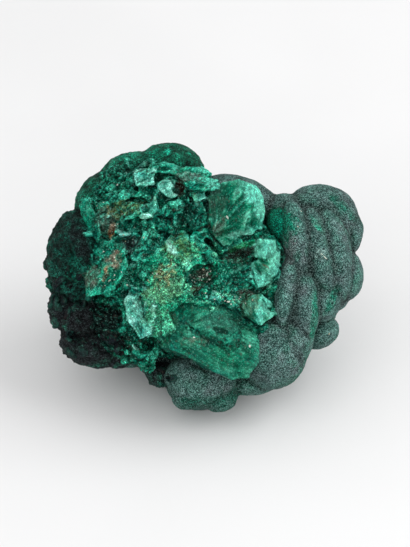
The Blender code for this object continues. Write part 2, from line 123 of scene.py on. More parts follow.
FINISHES: dict[Ore, Finish] = {
    Ore.VELVET: Finish((0.009, 0.034, 0.03), (0.044, 0.108, 0.097), (0.15, 0.31, 0.28), grit=1),
    Ore.MOSS: Finish((0.001, 0.018, 0.012), (0.003, 0.08, 0.046), (0.015, 0.28, 0.17),
        steps=0.3, grit=0.12),
    Ore.DUSK: Finish((0.001, 0.008, 0.006), (0.003, 0.03, 0.022), (0.008, 0.11, 0.078),
        steps=0.75, grit=0.12),
    Ore.SOOT: Finish((0.004, 0.005, 0.007), (0.01, 0.013, 0.015), (0.014, 0.055, 0.042),
        steps=0.85, grit=0.2),
    Ore.GLAZE: Finish((0.001, 0.05, 0.03), (0.002, 0.115, 0.062), (0.01, 0.2, 0.12),
        steps=0.3, grit=0.1),
    Ore.BED: Finish((0.001, 0.03, 0.02), (0.001, 0.145, 0.086), (0.04, 0.4, 0.27),
        0.12, 0.14, 0.5, 0.3, 0.9),
    Ore.FIBRE: Finish((0.001, 0.06, 0.04), (0.004, 0.23, 0.138), (0.075, 0.52, 0.37),
        0.15, 0.08, 0.3, 0.2, 0.8),
    Ore.SILK: Finish((0.001, 0.04, 0.026), (0.001, 0.15, 0.082), (0.13, 0.58, 0.43),
        0.1, 0.02, 0.1, 0.03, 0.5),
    Ore.MINT: Finish((0.003, 0.14, 0.092), (0.075, 0.45, 0.325), (0.28, 0.72, 0.6),
        0.12, 0.06, 0.1, 0.15, 0.7),
    Ore.GRAIN: Finish((0.001, 0.1, 0.055), (0.012, 0.37, 0.2), (0.17, 0.7, 0.45),
        0, 0.26, 0.2, 0.14, 1),
    Ore.CRUMB: Finish((0.001, 0.036, 0.024), (0.003, 0.175, 0.106), (0.05, 0.48, 0.32),
        0.1, 0.26, 0.4, 0.34, 1),
    Ore.SLAB: Finish((0.003, 0.06, 0.041), (0.008, 0.155, 0.094), (0.05, 0.32, 0.21),
        0.12, 0.03, 0.12, 0.04, 0.5),
    Ore.SHADE: Finish((0.001, 0.014, 0.01), (0.001, 0.07, 0.044), (0.014, 0.28, 0.18),
        0.12, 0.08, 0.2, 0.2, 0.7),
}

DARK_ORES = (Ore.SOOT, Ore.DUSK, Ore.BED)
STRAY_ORES = (Ore.MINT, Ore.SHADE)
STRAY_SHARES = (0.86, 0.03, 0.11)
LEDGE_LIFT = (-1.0, 0.5)
LEDGE_GIRTH = (0.35, 0.6)
LEDGE_TIPS = (22, 20, 25)
LEDGE_TINT = 0.15


@dataclass(frozen=True)
class Lobe:
    """A rounded growth: its centre, its radii and its turn in the face plane, in degrees."""

    name: str
    centre: Triple
    radii: Triple
    turn: float = 0.0
    ore: Ore = Ore.VELVET


@dataclass(frozen=True)
class Shard:
    """A broken block.

    Args:
        name: What it is called.
        corners: The corners that show.
        ore: Its kind of ore.
        root: How deep its root goes behind the corners.
        taper: How much the root narrows.
        fibre: The lie of its fibres in the face plane, in degrees.
        bright: The way towards the key light in which its faces take a painted highlight, or None.
        hub: Where its fibres radiate from and how far they reach, or None.
        tint: How much paler than its ore it is.
    """

    name: str
    corners: tuple[Triple, ...]
    ore: Ore = Ore.FIBRE
    root: float = 8.0
    taper: float = 0.8
    fibre: float = 20.0
    bright: Triple | None = None
    hub: Triple | None = None
    tint: float = 0.0


@dataclass(frozen=True)
class Rubble:
    """A patch of small ledges: where, how many, how large, how they lie and how far they stand out."""

    name: str
    centre: Pair
    spread: Pair
    count: int
    size: Pair
    lie: float
    lift: float
    ore: Ore = Ore.FIBRE


@dataclass(frozen=True)
class Pit:
    """A hollow in the broken face: an ellipsoid pressed straight in along z."""

    name: str
    centre: Triple
    radii: Triple
    turn: float = 0.0


@dataclass(frozen=True)
class Stain:
    """A soft-edged patch of another colour.

    Args:
        name: What it is called.
        centre: Where it is.
        reach: How far it reaches each way.
        colour: Its colour.
        strength: How much of the ore's own colour it hides.
        turn: Its turn in the face plane, in degrees.
        even: How much of it is left between its flecks.
    """

    name: str
    centre: Triple
    reach: Triple
    colour: Rgb
    strength: float = 0.8
    turn: float = 0.0
    even: float = 0.35


@dataclass(frozen=True)
class Glint:
    """A pale grain caught in the ore, or a thin pale streak that is a painted highlight: where it is, its
    length, its width and its lie in degrees.
    """

    spot: Pair
    long: float
    wide: float
    lie: float = 90.0


CORE = (
    Lobe("core_left", (-14, 3, -10), (29, 32, 22)),
    Lobe("core_right", (19, -2, -11), (26, 25, 22)),
    Lobe("core_low", (1, -12, -10), (25, 20, 22)),
    Lobe("core_back", (0, 0, -18), (40, 31, 22)),
)
CRUST = (
    # Top rim
    Lobe("crest", (-12, 35.3, -4), (12, 10.8, 12), ore=Ore.MOSS),
    Lobe("crest_left", (-25, 32, -5), (13, 10.5, 13), 28, Ore.MOSS),
    Lobe("shoulder", (-33.8, 25.5, -4), (9.5, 11.5, 12), -24, Ore.MOSS),
    Lobe("crest_back", (12, 26.2, -6), (14.5, 8.5, 12), -22),
    # Left flank, turned from the key light: its dark ores are partly the crust's own colour and partly
    # painted shade
    Lobe("flank", (-41, 8, -3), (12, 16.8, 14), -6, Ore.DUSK),
    Lobe("flank_bud_a", (-51, 5.5, -3), (3, 3, 4), ore=Ore.DUSK),
    Lobe("flank_bud_b", (-50, -1, -3), (3.2, 3.5, 4), ore=Ore.DUSK),
    Lobe("flank_low", (-47, -9, -5), (5.5, 8, 8), ore=Ore.SOOT),
    Lobe("flank_root", (-42, -13, -4), (8, 8, 9), ore=Ore.SOOT),
    Lobe("heel", (-38.5, -22.5, -6), (10.5, 6.5, 10), -18, Ore.SOOT),
    Lobe("heel_bud", (-28.5, -26.5, -6), (4.5, 3.2, 5), ore=Ore.SOOT),
    # Foot
    Lobe("foot", (-1, -33, 0), (12.2, 9.8, 11)),
    Lobe("foot_corner_left", (-6.2, -38.6, -1), (5, 4.8, 8)),
    Lobe("foot_corner_right", (4.6, -38.6, -1), (6.2, 5.6, 8)),
    Lobe("foot_left", (-14.5, -31.5, -6), (5.5, 5, 6), ore=Ore.SOOT),
    Lobe("foot_right", (17, -33.5, -4), (10, 5, 8), 12),
    # Right-hand cluster
    Lobe("crown", (38.5, 20, -6), (13.2, 12.3, 13)),
    Lobe("crown_knob", (49.2, 16, -6), (3.8, 7, 7)),
    Lobe("crown_tip", (47.8, 12.8, -6), (4.4, 3, 5)),
    Lobe("saddle", (26.5, 22.5, -3), (7, 6.5, 9)),
    Lobe("glazed", (25, 18.3, 2.5), (4.6, 6.2, 8.6), 12, Ore.GLAZE),
    Lobe("petal_outer", (42.2, 9.5, 1.5), (6.6, 17, 9.5), 10),
    Lobe("petal_middle", (37.6, 9, 5), (5.6, 15.5, 8.6), 12),
    Lobe("petal_low", (38.8, -6.5, 2), (6.6, 7.5, 8.5), -20),
    Lobe("petal_inner", (30.4, 13, 7.2), (5, 13.5, 7.6), 9),
    Lobe("side", (47.4, 1.6, -4), (5.7, 8.4, 9)),
    Lobe("side_bud", (43.5, -7.6, -4), (4.8, 3.2, 5), 25),
    Lobe("spur", (38.6, -17.6, -8), (7, 5.4, 8), 25),
    Lobe("lap", (32.7, -7.5, 7.2), (5.2, 12, 8.6), 4),
    Lobe("lap_inner", (26.9, -4, 8.4), (4.2, 12.5, 8), -8),
    Lobe("belly", (22.5, -23.5, 2), (11.5, 13, 13)),
    Lobe("belly_side", (30, -18.5, 4), (6.2, 11, 9), -10),
    Lobe("belly_low", (26.3, -29.3, -1), (5.8, 5.8, 8)),
    # Lobes that it stands on
    Lobe("rest_front", (-2, -33, -11), (12, 11, 11)),
    Lobe("rest_right", (24, -13, -34), (13, 12, 12)),
    Lobe("rest_left", (-22, -13, -34), (13, 12, 12)),
)
BED = (
    Lobe("bed_top", (-16, 26, -1), (20, 12, 13), ore=Ore.BED),
    Lobe("bed_left", (-27, 12, -2), (13, 15, 14), ore=Ore.BED),
    Lobe("bed_middle", (-8, 4, -1), (16, 16, 14.5), ore=Ore.BED),
    Lobe("bed_right", (12, 2, -2), (13, 16, 13), ore=Ore.BED),
    Lobe("bed_low", (-24, -16, -5), (13, 13, 14), ore=Ore.BED),
    Lobe("slab_drape", (2, -17, 6.5), (15.5, 10, 12.8), -28, Ore.SLAB),
)
# Ways towards the key light: faces of blocks and ledges turned this way are painted paler, as painted
# highlight.
RIGHT = (1, 0.25, 0.3)
UP_RIGHT = (0.7, 0.7, 0.4)
FAN_HUB = (2.7, 15, 17.5)

SHARDS = (
    # Uneven plates behind the blocks
    Shard("bed_plate_top", ((-34, 22, 9.5), (-28, 32, 9), (-15, 36.5, 10), (2, 35, 11), (7, 21, 14.5),
        (-7, 17, 15), (-23, 14, 13.3), (-35, 14, 10.5)), Ore.BED, root=9),
    Shard("bed_plate_left", ((-37, 12, 10), (-23, 14, 13.4), (-17, 2, 15), (-26, -6, 13),
        (-38, -5, 10.3)), Ore.BED, root=9),
    Shard("bed_plate_middle", ((-23, 14, 13.4), (4, 16, 15.2), (14, 12, 14), (14, -7, 13.8),
        (-6, -9, 15), (-20, -8, 14.4), (-22, 2, 14.8)), Ore.BED, root=9),
    Shard("bed_plate_right", ((2, 22, 14), (19, 19, 9.5), (25, 12, 12), (25, -12, 12.2), (12, -11, 14),
        (2, -6, 15)), Ore.BED, root=9),
    Shard("bed_plate_low", ((-39, -9, 7.5), (-26, -9, 12), (-17, -11, 14), (-15, -22, 12.5),
        (-18, -31, 8.5), (-30, -24, 8)), Ore.BED, root=9),
    # Dark fillers in the gaps under the fan and beside the slab: painted shade.
    Shard("fan_root", ((-3, 21, 14), (3, 22.5, 15.5), (5, 14, 15.5), (0, 11.5, 15),
        (-3, 14, 14.8)), Ore.SHADE, root=9),
    Shard("slab_root", ((12, -9, 12), (20, -11, 12.4), (23, -19, 12), (16, -24, 13),
        (11, -16, 13)), Ore.SHADE, root=10),
    Shard("plateau_tail", ((-18, -8, 16.3), (-12, -8.5, 16.8), (-10, -15.5, 17.2), (-14.2, -21.5, 15.6),
        (-19, -19, 14), (-17.5, -13, 16)), Ore.GRAIN, root=10),
    # The dark wedge turns away from the key light: painted shade.
    Shard("wedge_dark", ((8.3, 1.8, 15), (9.4, 3.8, 14.5), (14.3, 5.6, 15.4), (16.9, -1.9, 13.2),
        (10.9, -0.3, 13.5), (8.3, 0.5, 14.2)), Ore.SHADE),
    Shard("blade", ((11.5, 11.2, 14), (16.5, 13.6, 13), (17, 12.6, 13.5), (12.5, 9.8, 14.5)), root=6),
    Shard("plateau", ((-21, 5, 14.6), (-15, 11, 15.6), (-5, 12.5, 16.8), (3.5, 11.5, 15.8),
        (6.5, 8, 15.2), (4, 5, 16.3), (-6, 4, 19), (-8, -3, 19), (-5, -5.5, 17.2), (-10, -10.5, 16.8),
        (-19, -8, 16.2), (-22, -1, 15), (-14, 3, 18.4)), Ore.GRAIN, root=10),
    Shard("crest_ledge", ((-19, 38, 11.5), (-10, 38.3, 13), (0, 36.8, 12), (2.5, 34.5, 13),
        (-8, 34, 15), (-18, 35, 14))),
    Shard("stripe_upper", ((-34, 24.5, 12.5), (-29, 28.8, 12.5), (-21, 30, 14), (-20, 28.4, 15.2),
        (-27, 26, 15)), root=6),
    Shard("stripe_lower", ((-34, 20, 12), (-27, 24.5, 13.6), (-16, 25, 14.6), (-12, 21, 15),
        (-22, 20, 15.6)), root=7),
    Shard("step_low", ((-33, -4, 11), (-25, 1, 12.5), (-22, -5, 12), (-27, -9, 10.5)), Ore.CRUMB, root=6),
    Shard("nub_a", ((-21.7, 19, 14), (-17, 19.5, 14), (-16, 14, 16), (-20.5, 13.5, 16)), root=5),
    Shard("nub_b", ((-17, 11.5, 14.5), (-12, 12, 15), (-11, 7, 17), (-15.5, 6, 17)), root=5),
    Shard("nub_c", ((-20.5, 7, 14.5), (-16.5, 7.5, 16), (-16, 2, 16.5), (-20, 1.5, 15.5)), root=5),
    Shard("nub_d", ((-25, 9.7, 13.5), (-19, 10.3, 14), (-18.5, 7, 15.5), (-24, 6.3, 15)), root=5),
    Shard("gable_right", ((-7, 25.5, 14), (-0.8, 25, 14.5), (-0.5, 17.5, 16),
        (-5, 16.5, 15.8)), Ore.SHADE, root=6, fibre=70),
    Shard("step_middle", ((-22, 4, 14.5), (-17, 1, 16.5), (-19, -6, 16),
        (-25, -3, 14)), root=6, bright=UP_RIGHT),
)
PLATES = (
    # The fan: one flat plate with a fibrous side dropping away to the right; its hub sets a painted highlight
    # along its rim towards the key light
    Shard("fan_plate", ((1, 27, 15.5), (2.5, 29.8, 14.8), (5.7, 32.2, 14.5), (11, 32.9, 14.5),
        (13.5, 31.8, 15.2), (14.5, 24, 19), (12.5, 15.5, 18.8), (8.3, 11.2, 17.3), (5.5, 11.3, 16.8),
        (3, 14, 16.3), (0.8, 20, 16.6)), Ore.SILK, root=11, hub=FAN_HUB),
    Shard("fan_side", ((13.2, 32, 14.8), (16.5, 31, 12.5), (19.3, 27.3, 10.8), (20.2, 22.8, 10.3),
        (18.5, 17, 11), (15.5, 14.8, 14), (11.5, 14.5, 18),
        (14.3, 23, 19)), Ore.SILK, root=10, hub=FAN_HUB, tint=0.02),
    # Stacked wedges beside the right-hand cluster, painted paler where their faces turn towards the key light
    Shard("wedge_upper", ((15.7, 11, 13.5), (17.6, 13.5, 14), (20.6, 13.1, 17.2), (23.4, 13.2, 14),
        (23.8, 10.3, 13.4), (22.4, 5.7, 15), (19.2, 6.8, 17.6),
        (15.3, 8, 14)), Ore.SILK, bright=RIGHT, fibre=-75, tint=0.56),
    Shard("wedge_middle", ((14.6, 5.6, 14), (19.1, 7.2, 16.4), (22, 6.8, 18.2), (25, 9.5, 12.5),
        (24.9, 5.9, 13), (24, 1.3, 12.5), (21.7, -1.1, 13), (17.4, -2.2, 16.6),
        (15.4, 2.3, 13.6)), Ore.SILK, bright=RIGHT, fibre=-50, tint=0.36),
    Shard("wedge_lower", ((12, -6.9, 13.3), (11.6, -10.6, 13), (16.1, -12.9, 14), (18.3, -14.8, 15.2),
        (16.9, -10.4, 18), (18.5, -4.3, 15.8), (21.9, -6.5, 13.3),
        (24.2, -11.2, 13)), Ore.SILK, bright=RIGHT, fibre=-70, tint=0.1),
    # The smooth slab, whose lower lip stands out over the foot
    Shard("slab", ((-14.6, -22.4, 16), (-11.5, -23.8, 17.4), (-5, -24.7, 18.4), (0.3, -27.3, 18.6),
        (4.3, -30, 17.6), (9.3, -33, 15.2), (14.5, -32.4, 14), (17.6, -27.5, 13.8), (17.8, -20, 13.8),
        (15.5, -14, 13.2), (11, -8, 11.6), (3, -4, 11.6), (-5, -3.7, 12), (-12, -6, 12.6),
        (-14.8, -13, 14.2), (-4, -18, 19), (4, -20, 18.8)), Ore.SLAB, root=10, fibre=-25),
    # The pale end and the rounded upper edge of the granular plateau
    Shard("pale_wedge", ((-26.7, -7.5, 13.6), (-24.5, -1.5, 14.8), (-20, -2, 16.2), (-17, -6, 17),
        (-15.8, -12, 17), (-17.5, -18, 16), (-21.3, -19.3, 14.2),
        (-24.8, -13.5, 13.6)), Ore.MINT, root=9, fibre=-60, tint=0.3),
    Shard("plateau_block_left", ((-13.5, 12, 16), (-12, 15.5, 15), (-7, 16.3, 15.5), (-5, 13, 17),
        (-6, 11, 17.5))),
    Shard("plateau_block_right", ((-5, 12, 17), (-4, 16.3, 15.5), (1.5, 16, 15.5), (3.3, 12, 16.5),
        (-1, 10.5, 17.5))),
    # Ledges under the crest
    Shard("pale_block", ((-24, 35.5, 13.8), (-16.5, 37, 14.3), (-16.3, 30.5, 16.5),
        (-23.3, 30.8, 16)), Ore.MINT, root=6, tint=0.1),
    Shard("pale_chip", ((-15, 31.7, 13), (-11, 32.5, 13), (-8.2, 28.3, 15), (-11, 26.5, 15),
        (-15, 29, 14)), Ore.MINT, root=6),
    Shard("mint_chip", ((-4.2, 28.8, 14.5), (0, 29.2, 15), (0.8, 26, 15.8),
        (-3.5, 25.2, 15.5)), Ore.MINT, root=5),
    Shard("tongue", ((-8.5, 34, 14), (-1.7, 34.3, 15), (4.3, 32.3, 14.5), (4.4, 29.8, 16),
        (0, 28.3, 17.3), (-5, 29.5, 16.8)), bright=UP_RIGHT),
    Shard("small_fan", ((-20.5, 23, 14.8), (-16, 27.5, 14.5), (-15, 23, 16.6),
        (-18, 20.3, 16.4)), Ore.MINT, root=5, fibre=50),
    Shard("streak", ((-13.5, 12.8, 16.4), (-10.5, 13.4, 16.8), (-8.6, 8.6, 18.3),
        (-11.2, 7.6, 18)), Ore.MINT, root=5, fibre=-50),
    # Left half of the break
    Shard("gable", ((-15, 26, 12), (-8.5, 26, 13), (-4, 27, 12.5), (-2, 20, 14), (-6, 16, 13),
        (-14, 18, 12.5)), root=7, fibre=70),
    Shard("left_strip", ((-42, 25, 5), (-40, 27.5, 6), (-36.5, 22, 11), (-34, 15, 12.5),
        (-35.5, 12, 12), (-38.5, 17, 9)), root=7, fibre=-70, bright=RIGHT),
    Shard("stained_slab", ((-38, 9, 9.5), (-34.5, 14, 11.5), (-27, 12, 14.6), (-25.5, 5, 16.2),
        (-30, -3.8, 15.8), (-38.8, -5.2, 13), (-40, 1, 10.5)), root=8, fibre=55),
)
RUBBLE = (
    Rubble("crest_steps", (-22, 27), (15, 8), 44, (1.6, 4.6), 24, 1.5),
    Rubble("left_steps", (-26, 16), (12, 7), 40, (1.4, 4), 20, 1.5),
    Rubble("middle_grit", (-20, 8), (7, 8), 24, (1, 3), 60, 1.5, Ore.CRUMB),
    Rubble("plateau_grit", (-9, 3), (10, 6), 54, (0.7, 1.9), 30, 0.9, Ore.GRAIN),
    Rubble("right_grit", (9, -3), (9, 4), 26, (1.1, 3), 10, 1.7, Ore.CRUMB),
    Rubble("fan_foot", (7, 8), (8, 4), 16, (1.4, 3.4), 30, 2, Ore.SHADE),
    Rubble("gable_fibres", (-8, 22), (7, 6), 20, (1.4, 4.2), 75, 1.4),
    Rubble("foot_grit", (-21, -25), (8, 6), 34, (1.3, 3.8), -35, 1.8, Ore.CRUMB),
    Rubble("heel_grit", (-33, -16), (8, 7), 24, (1.3, 3.8), -20, 1.4, Ore.SHADE),
    Rubble("rim_steps", (-29, 28), (8, 6), 24, (1.6, 4.4), 38, 1, Ore.BED),
    Rubble("crest_grit", (-19, 38), (9, 2.5), 14, (1, 2.8), 8, 1.6),
    Rubble("slab_top", (0, -6.5), (14, 3), 34, (0.9, 2.6), -10, 1.4, Ore.GRAIN),
    Rubble("flank_crumbs", (-45, -6), (6, 12), 30, (1.4, 3.6), 70, 0.6, Ore.SOOT),
    Rubble("heel_crumbs", (-36, -22), (10, 5), 24, (1.4, 3.6), -20, 0.5, Ore.SOOT),
    Rubble("flank_ledges", (-39, 8), (6, 13), 24, (1.4, 4), 75, 0.7, Ore.DUSK),
    Rubble("foot_ledges", (-14, -33), (6, 4), 14, (1.2, 3), -30, 0.8, Ore.SOOT),
    Rubble("crest_dark", (-27, 35.5), (7, 3), 26, (1.2, 3), 22, 0.7, Ore.BED),
    Rubble("shoulder_ledges", (-32, 26.5), (5, 7), 34, (1.6, 4.2), 40, 0.6, Ore.BED),
    Rubble("pit_crystals", (-1, 2), (5, 3), 22, (0.6, 1.8), 40, 1, Ore.CRUMB),
)
PITS = (
    Pit("red_pit", (-8.3, 30.5, 17), (2.4, 2.8, 7), 20),
    Pit("crystal_pit", (-1.5, 1, 17), (5.5, 3.4, 4.6), 15),
    Pit("fan_gap", (3.5, 9.5, 17), (1.2, 5.5, 5.5), 40),
    Pit("under_fan", (11, 8.5, 15), (4.6, 1.8, 4), 12),
    Pit("fan_hole", (20.3, 17, 13), (1.7, 1.6, 6)),
    Pit("slab_dimple", (7, -17, 20), (5.5, 1.5, 2.6), -14),
    Pit("black_hole", (-18.5, -21.7, 16), (3.6, 2.6, 10), 20),
    Pit("left_hollow", (-34.5, -12, 14), (7.5, 5.5, 9), 10),
    Pit("lip_gap", (-4.5, -27.4, 16), (10.5, 1.5, 8), -25),
    Pit("crest_hollow", (-25, 37.2, 12), (8.5, 2.7, 6), 12),
)
STAINS = (
    Stain("rust_streak", (-30.7, 16.5, 13), (1, 2.8, 8), (0.42, 0.13, 0.03), 0.95, -15, 0.6),
    Stain("tan_cap", (-32.5, 20, 12), (4, 4.5, 8), (0.115, 0.135, 0.11), 0.8),
    Stain("slab_tan", (-29.7, 6.5, 14), (3.2, 3.2, 8), (0.34, 0.22, 0.16), 0.8, 30, 0.2),
    Stain("slab_grey", (-37, 1, 12), (2.6, 4.5, 8), (0.15, 0.14, 0.115), 0.8, -10, 0.4),
    Stain("slab_pink", (-32.5, 2.5, 14), (0.9, 3, 8), (0.46, 0.16, 0.09), 0.8, -15, 0.2),
    Stain("slab_emerald", (-27.5, 2, 15), (2.2, 5, 8), (0.002, 0.27, 0.15), 0.6, -30),
    Stain("ochre_flecks", (-26, 23.5, 13), (7.5, 3, 8), (0.14, 0.16, 0.03), 0.65, 10, 0),
    Stain("plateau_gold", (-8, 10, 16), (6, 4.5, 8), (0.15, 0.33, 0.1), 0.6, 0, 0.2),
    Stain("plateau_lime", (-13, -3.5, 17), (8, 4, 8), (0.2, 0.6, 0.3), 0.7, 20, 0.5),
    Stain("tail_lime", (-14.5, -13.5, 16), (4.5, 5.5, 8), (0.1, 0.44, 0.24), 0.6, 60, 0.4),
    Stain("ochre_crumbs", (-13.5, 1.5, 16), (4, 4, 8), (0.42, 0.36, 0.16), 0.7, 0, 0),
    Stain("pit_rust", (-4.5, -3, 12), (5, 1.4, 8), (0.07, 0.014, 0.008), 0.8, 15),
    Stain("crystal_dust", (-1.2, 1.6, 12), (4.2, 2.4, 6), (0.125, 0.125, 0.1), 0.75, 10, 0.1),
    Stain("red_pit_wall", (-8, 30.3, 10), (2.6, 3.4, 8), (0.04, 0.01, 0.008), 0.9, 0, 0.7),
    Stain("gap_brown", (11.5, 9, 12), (6, 3, 8), (0.04, 0.034, 0.028), 0.8, 20, 0.5),
    Stain("gap_green", (11, 11, 12), (3.4, 0.8, 6), (0.02, 0.26, 0.1), 0.9, 28, 0.6),
    Stain("crack_brown", (19.5, 4.8, 17), (2.2, 0.4, 5), (0.12, 0.08, 0.05), 0.9, -35, 0.8),
    Stain("wedge_brown", (15, -8, 15), (3.4, 4, 6), (0.1, 0.15, 0.09), 0.7, 0, 0.3),
    Stain("wedge_dust", (13, -4, 12), (3, 1.2, 6), (0.1, 0.06, 0.06), 0.7),
    Stain("emerald", (-17.3, 5.8, 16), (2.2, 3, 5), (0.001, 0.33, 0.18), 0.8, -20, 0.7),
    Stain("streak_white", (-11.2, 10.8, 17.5), (1, 2.8, 5), (0.3, 0.68, 0.56), 0.8, 30, 0.7),
    Stain("slab_edge_bright", (-32.5, -4, 14), (5.5, 1.3, 6), (0.02, 0.42, 0.26), 0.7, 8),
    Stain("ledge_pink", (-5.5, 34, 13), (5, 1.6, 6), (0.12, 0.11, 0.11), 0.75, -8),
    Stain("tongue_tip", (3.5, 31, 14), (2.6, 2.6, 6), (0.13, 0.46, 0.35), 0.7),
    Stain("strip_bright", (-39, 20.5, 10), (1.8, 5, 7), (0.003, 0.24, 0.145), 0.7, 30),
    Stain("sliver", (14.5, 11.8, 14), (2.8, 0.9, 5), (0.01, 0.3, 0.12), 0.9, 28, 0.8),
    Stain("slate_patch", (-24.5, 11.7, 13), (4, 3, 8), (0.045, 0.062, 0.066), 0.8),
    Stain("dark_gable", (-5, 21.5, 13), (4, 5, 8), (0.002, 0.045, 0.03), 0.7, 15),
    Stain("fan_dusk", (3.5, 25, 16), (3.5, 6, 6), (0.03, 0.09, 0.06), 0.75, 10),
    Stain("fan_brown", (4.5, 17, 17), (1.8, 3.5, 5), (0.13, 0.13, 0.1), 0.6, -20, 0.1),
    Stain("fan_groove", (12.7, 28.5, 16), (0.5, 3.6, 5), (0.001, 0.03, 0.02), 0.85, -5, 0.8),
    Stain("fan_fringe", (12.5, 15.2, 17), (6, 1.2, 4), (0.2, 0.56, 0.44), 0.7, 5, 0.2),
    # A painted highlight along the raised upper edge of the dark block.
    Stain("dark_block_edge_highlight", (11.5, 4, 15), (3.4, 0.5, 3), (0.06, 0.3, 0.22), 0.8, 28, 0.3),
    Stain("fan_top", (9, 31, 15), (6, 2.6, 5), (0.001, 0.15, 0.085), 0.8, 0, 0.5),
    Stain("slab_dusk", (6, -14.5, 17), (7, 3.4, 6), (0.022, 0.085, 0.065), 0.7, -12, 0.5),
    Stain("slab_flush", (-4, -9, 15), (8, 3, 6), (0.001, 0.2, 0.115), 0.7, 8),
    Stain("slab_low_flush", (8, -25, 15), (8, 4, 6), (0.001, 0.17, 0.09), 0.7, -25),
    Stain("slab_rose", (-3, -20, 17), (5, 1.6, 6), (0.14, 0.14, 0.11), 0.6, 5, 0),
    Stain("flank_green", (-43, 5, 8), (2.2, 5.5, 8), (0.002, 0.075, 0.048), 0.8, -10),
    Stain("flank_black", (-41.5, 13, 9), (3, 8, 8), (0.006, 0.01, 0.011), 0.9, 20, 0.6),
    # Black in the left hollow: partly dark crust, partly painted shade.
    Stain("hollow_black_and_shade", (-36, -14, 5), (9, 7, 9), (0.006, 0.006, 0.008), 0.95, 0, 0.85),
    Stain("crest_green", (-21.5, 42.3, 3), (8.5, 3, 9), (0.001, 0.16, 0.095), 0.8, 0, 0.3),
    Stain("crest_shade", (-25, 37, 4), (9, 2.8, 9), (0.001, 0.022, 0.015), 0.8, 12, 0.6),
    Stain("crest_spot", (-12.3, 42.7, 4), (0.9, 1.4, 6), (0.01, 0.34, 0.22), 0.9, 0, 1),
    Stain("lilac_petal", (27.5, 11, 13), (2.6, 6, 8), (0.1, 0.09, 0.1), 0.7),
    Stain("glaze_patch", (25.5, 18, 9), (5.5, 6.5, 9), (0.001, 0.15, 0.094), 1, 20, 1),
    Stain("foot_green", (2, -41, 2), (14, 6, 12), (0.003, 0.07, 0.046), 0.9, 0, 0.7),
    Stain("foot_left_green", (-13, -38, 0), (5, 4.5, 10), (0.004, 0.06, 0.042), 0.8),
    Stain("foot_edge_green", (13, -38, 4), (5, 6, 10), (0.003, 0.1, 0.062), 0.7),
    Stain("belly_green_rim", (33, -29, 0), (2, 9, 12), (0.003, 0.115, 0.066), 0.8, -35),
    Stain("belly_green_low", (27, -34, 0), (6, 3, 12), (0.003, 0.08, 0.048), 0.8, 10),
    Stain("lap_green_line", (35.8, -12, 10), (1.4, 9, 9), (0.004, 0.15, 0.092), 0.95, -2, 0.7),
    Stain("crown_green", (46, 24, 2), (6.5, 1.8, 9), (0.003, 0.11, 0.07), 0.85, -42, 0.5),
    Stain("petal_green", (36.5, 18.5, 12), (1, 3.6, 7), (0.004, 0.22, 0.13), 0.85, 35, 0.6),
    Stain("side_green", (42, -6, 8), (1.6, 5.5, 9), (0.003, 0.14, 0.086), 0.85, -25, 0.5),
    # Darker heel under the lower left: partly dark crust, partly painted shade.
    Stain("heel_dark_and_shade", (-38.5, -24, 0), (9, 4, 10), (0.01, 0.012, 0.014), 0.8, -18),
    # Darker green on the lower sides of the belly, the foot and the spur: partly darker crust, partly painted
    # shade.
    Stain("belly_green_and_shade", (20.5, -27.5, 4), (9, 7, 14), (0.022, 0.072, 0.062), 0.5, 30, 0.5),
    Stain("foot_green_and_shade", (0, -33.5, 8), (11, 5, 12), (0.026, 0.08, 0.07), 0.35, 0, 0.5),
    Stain("spur_green_and_shade", (39, -18, -4), (7, 5, 12), (0.026, 0.085, 0.07), 0.45, 20, 0.5),
    # Painted highlights: pale streaks of sheen on the petal and the belly.
    Stain("petal_highlight", (37.5, 8.5, 14), (1.6, 2.2, 5), (0.26, 0.42, 0.38), 0.6, -40),
    Stain("belly_highlight", (29.5, -22, 11), (2.2, 5, 7), (0.16, 0.26, 0.25), 0.6, -10),
)
GLINTS = (
    Glint((7.3, 20.5), 0.75, 0.45, 110),
    Glint((14.6, -21.6), 0.8, 0.45, 75),
    Glint((-29.6, 7.4), 0.6, 0.4, 20),
    Glint((-15.6, 2), 0.5, 0.4, 60),
    Glint((7.8, -7), 0.8, 0.4, 5),
    Glint((6.4, -6.8), 0.5, 0.35, 30),
    Glint((-3.6, -18.7), 0.5, 0.35, 0),
    Glint((-0.5, 3.6), 0.7, 0.5, 40),
    Glint((0.8, 2), 0.9, 0.5, 75),
    Glint((-1.8, 1.2), 0.6, 0.45, 120),
    Glint((1.6, 0.2), 0.6, 0.4, 10),
    Glint((41.5, -18), 0.45, 0.35, 60),
    # Thin pale streaks on the right-hand cluster: painted highlights, built as pale grains.
    Glint((39.3, 7.5), 1.3, 0.3, -38),
    Glint((38.3, 8.6), 0.6, 0.22, -15),
    Glint((30.4, 17.7), 0.7, 0.25, -40),
    Glint((31.5, 22.8), 0.6, 0.22, -50),
    Glint((-29, 31.5), 0.5, 0.35, 30),
)

@dataclass(frozen=True)
class Stance:
    """How the face frame stands in the world."""

    lean_deg: float = 50.0
    origin_mm: Triple = (0.42, -4.74, 42.5)

    def matrix(self) -> Matrix:
        """Face frame in millimetres to world in metres."""
        turn = Matrix.Rotation(math.radians(self.lean_deg), 4, "X")
        return Matrix.Scale(MM, 4) @ Matrix.Translation(self.origin_mm) @ turn

    def direction(self, way: Triple) -> Vector:
        """A direction of the face frame, in the world."""
        return Matrix.Rotation(math.radians(self.lean_deg), 3, "X") @ Vector(way)


STANCE = Stance()


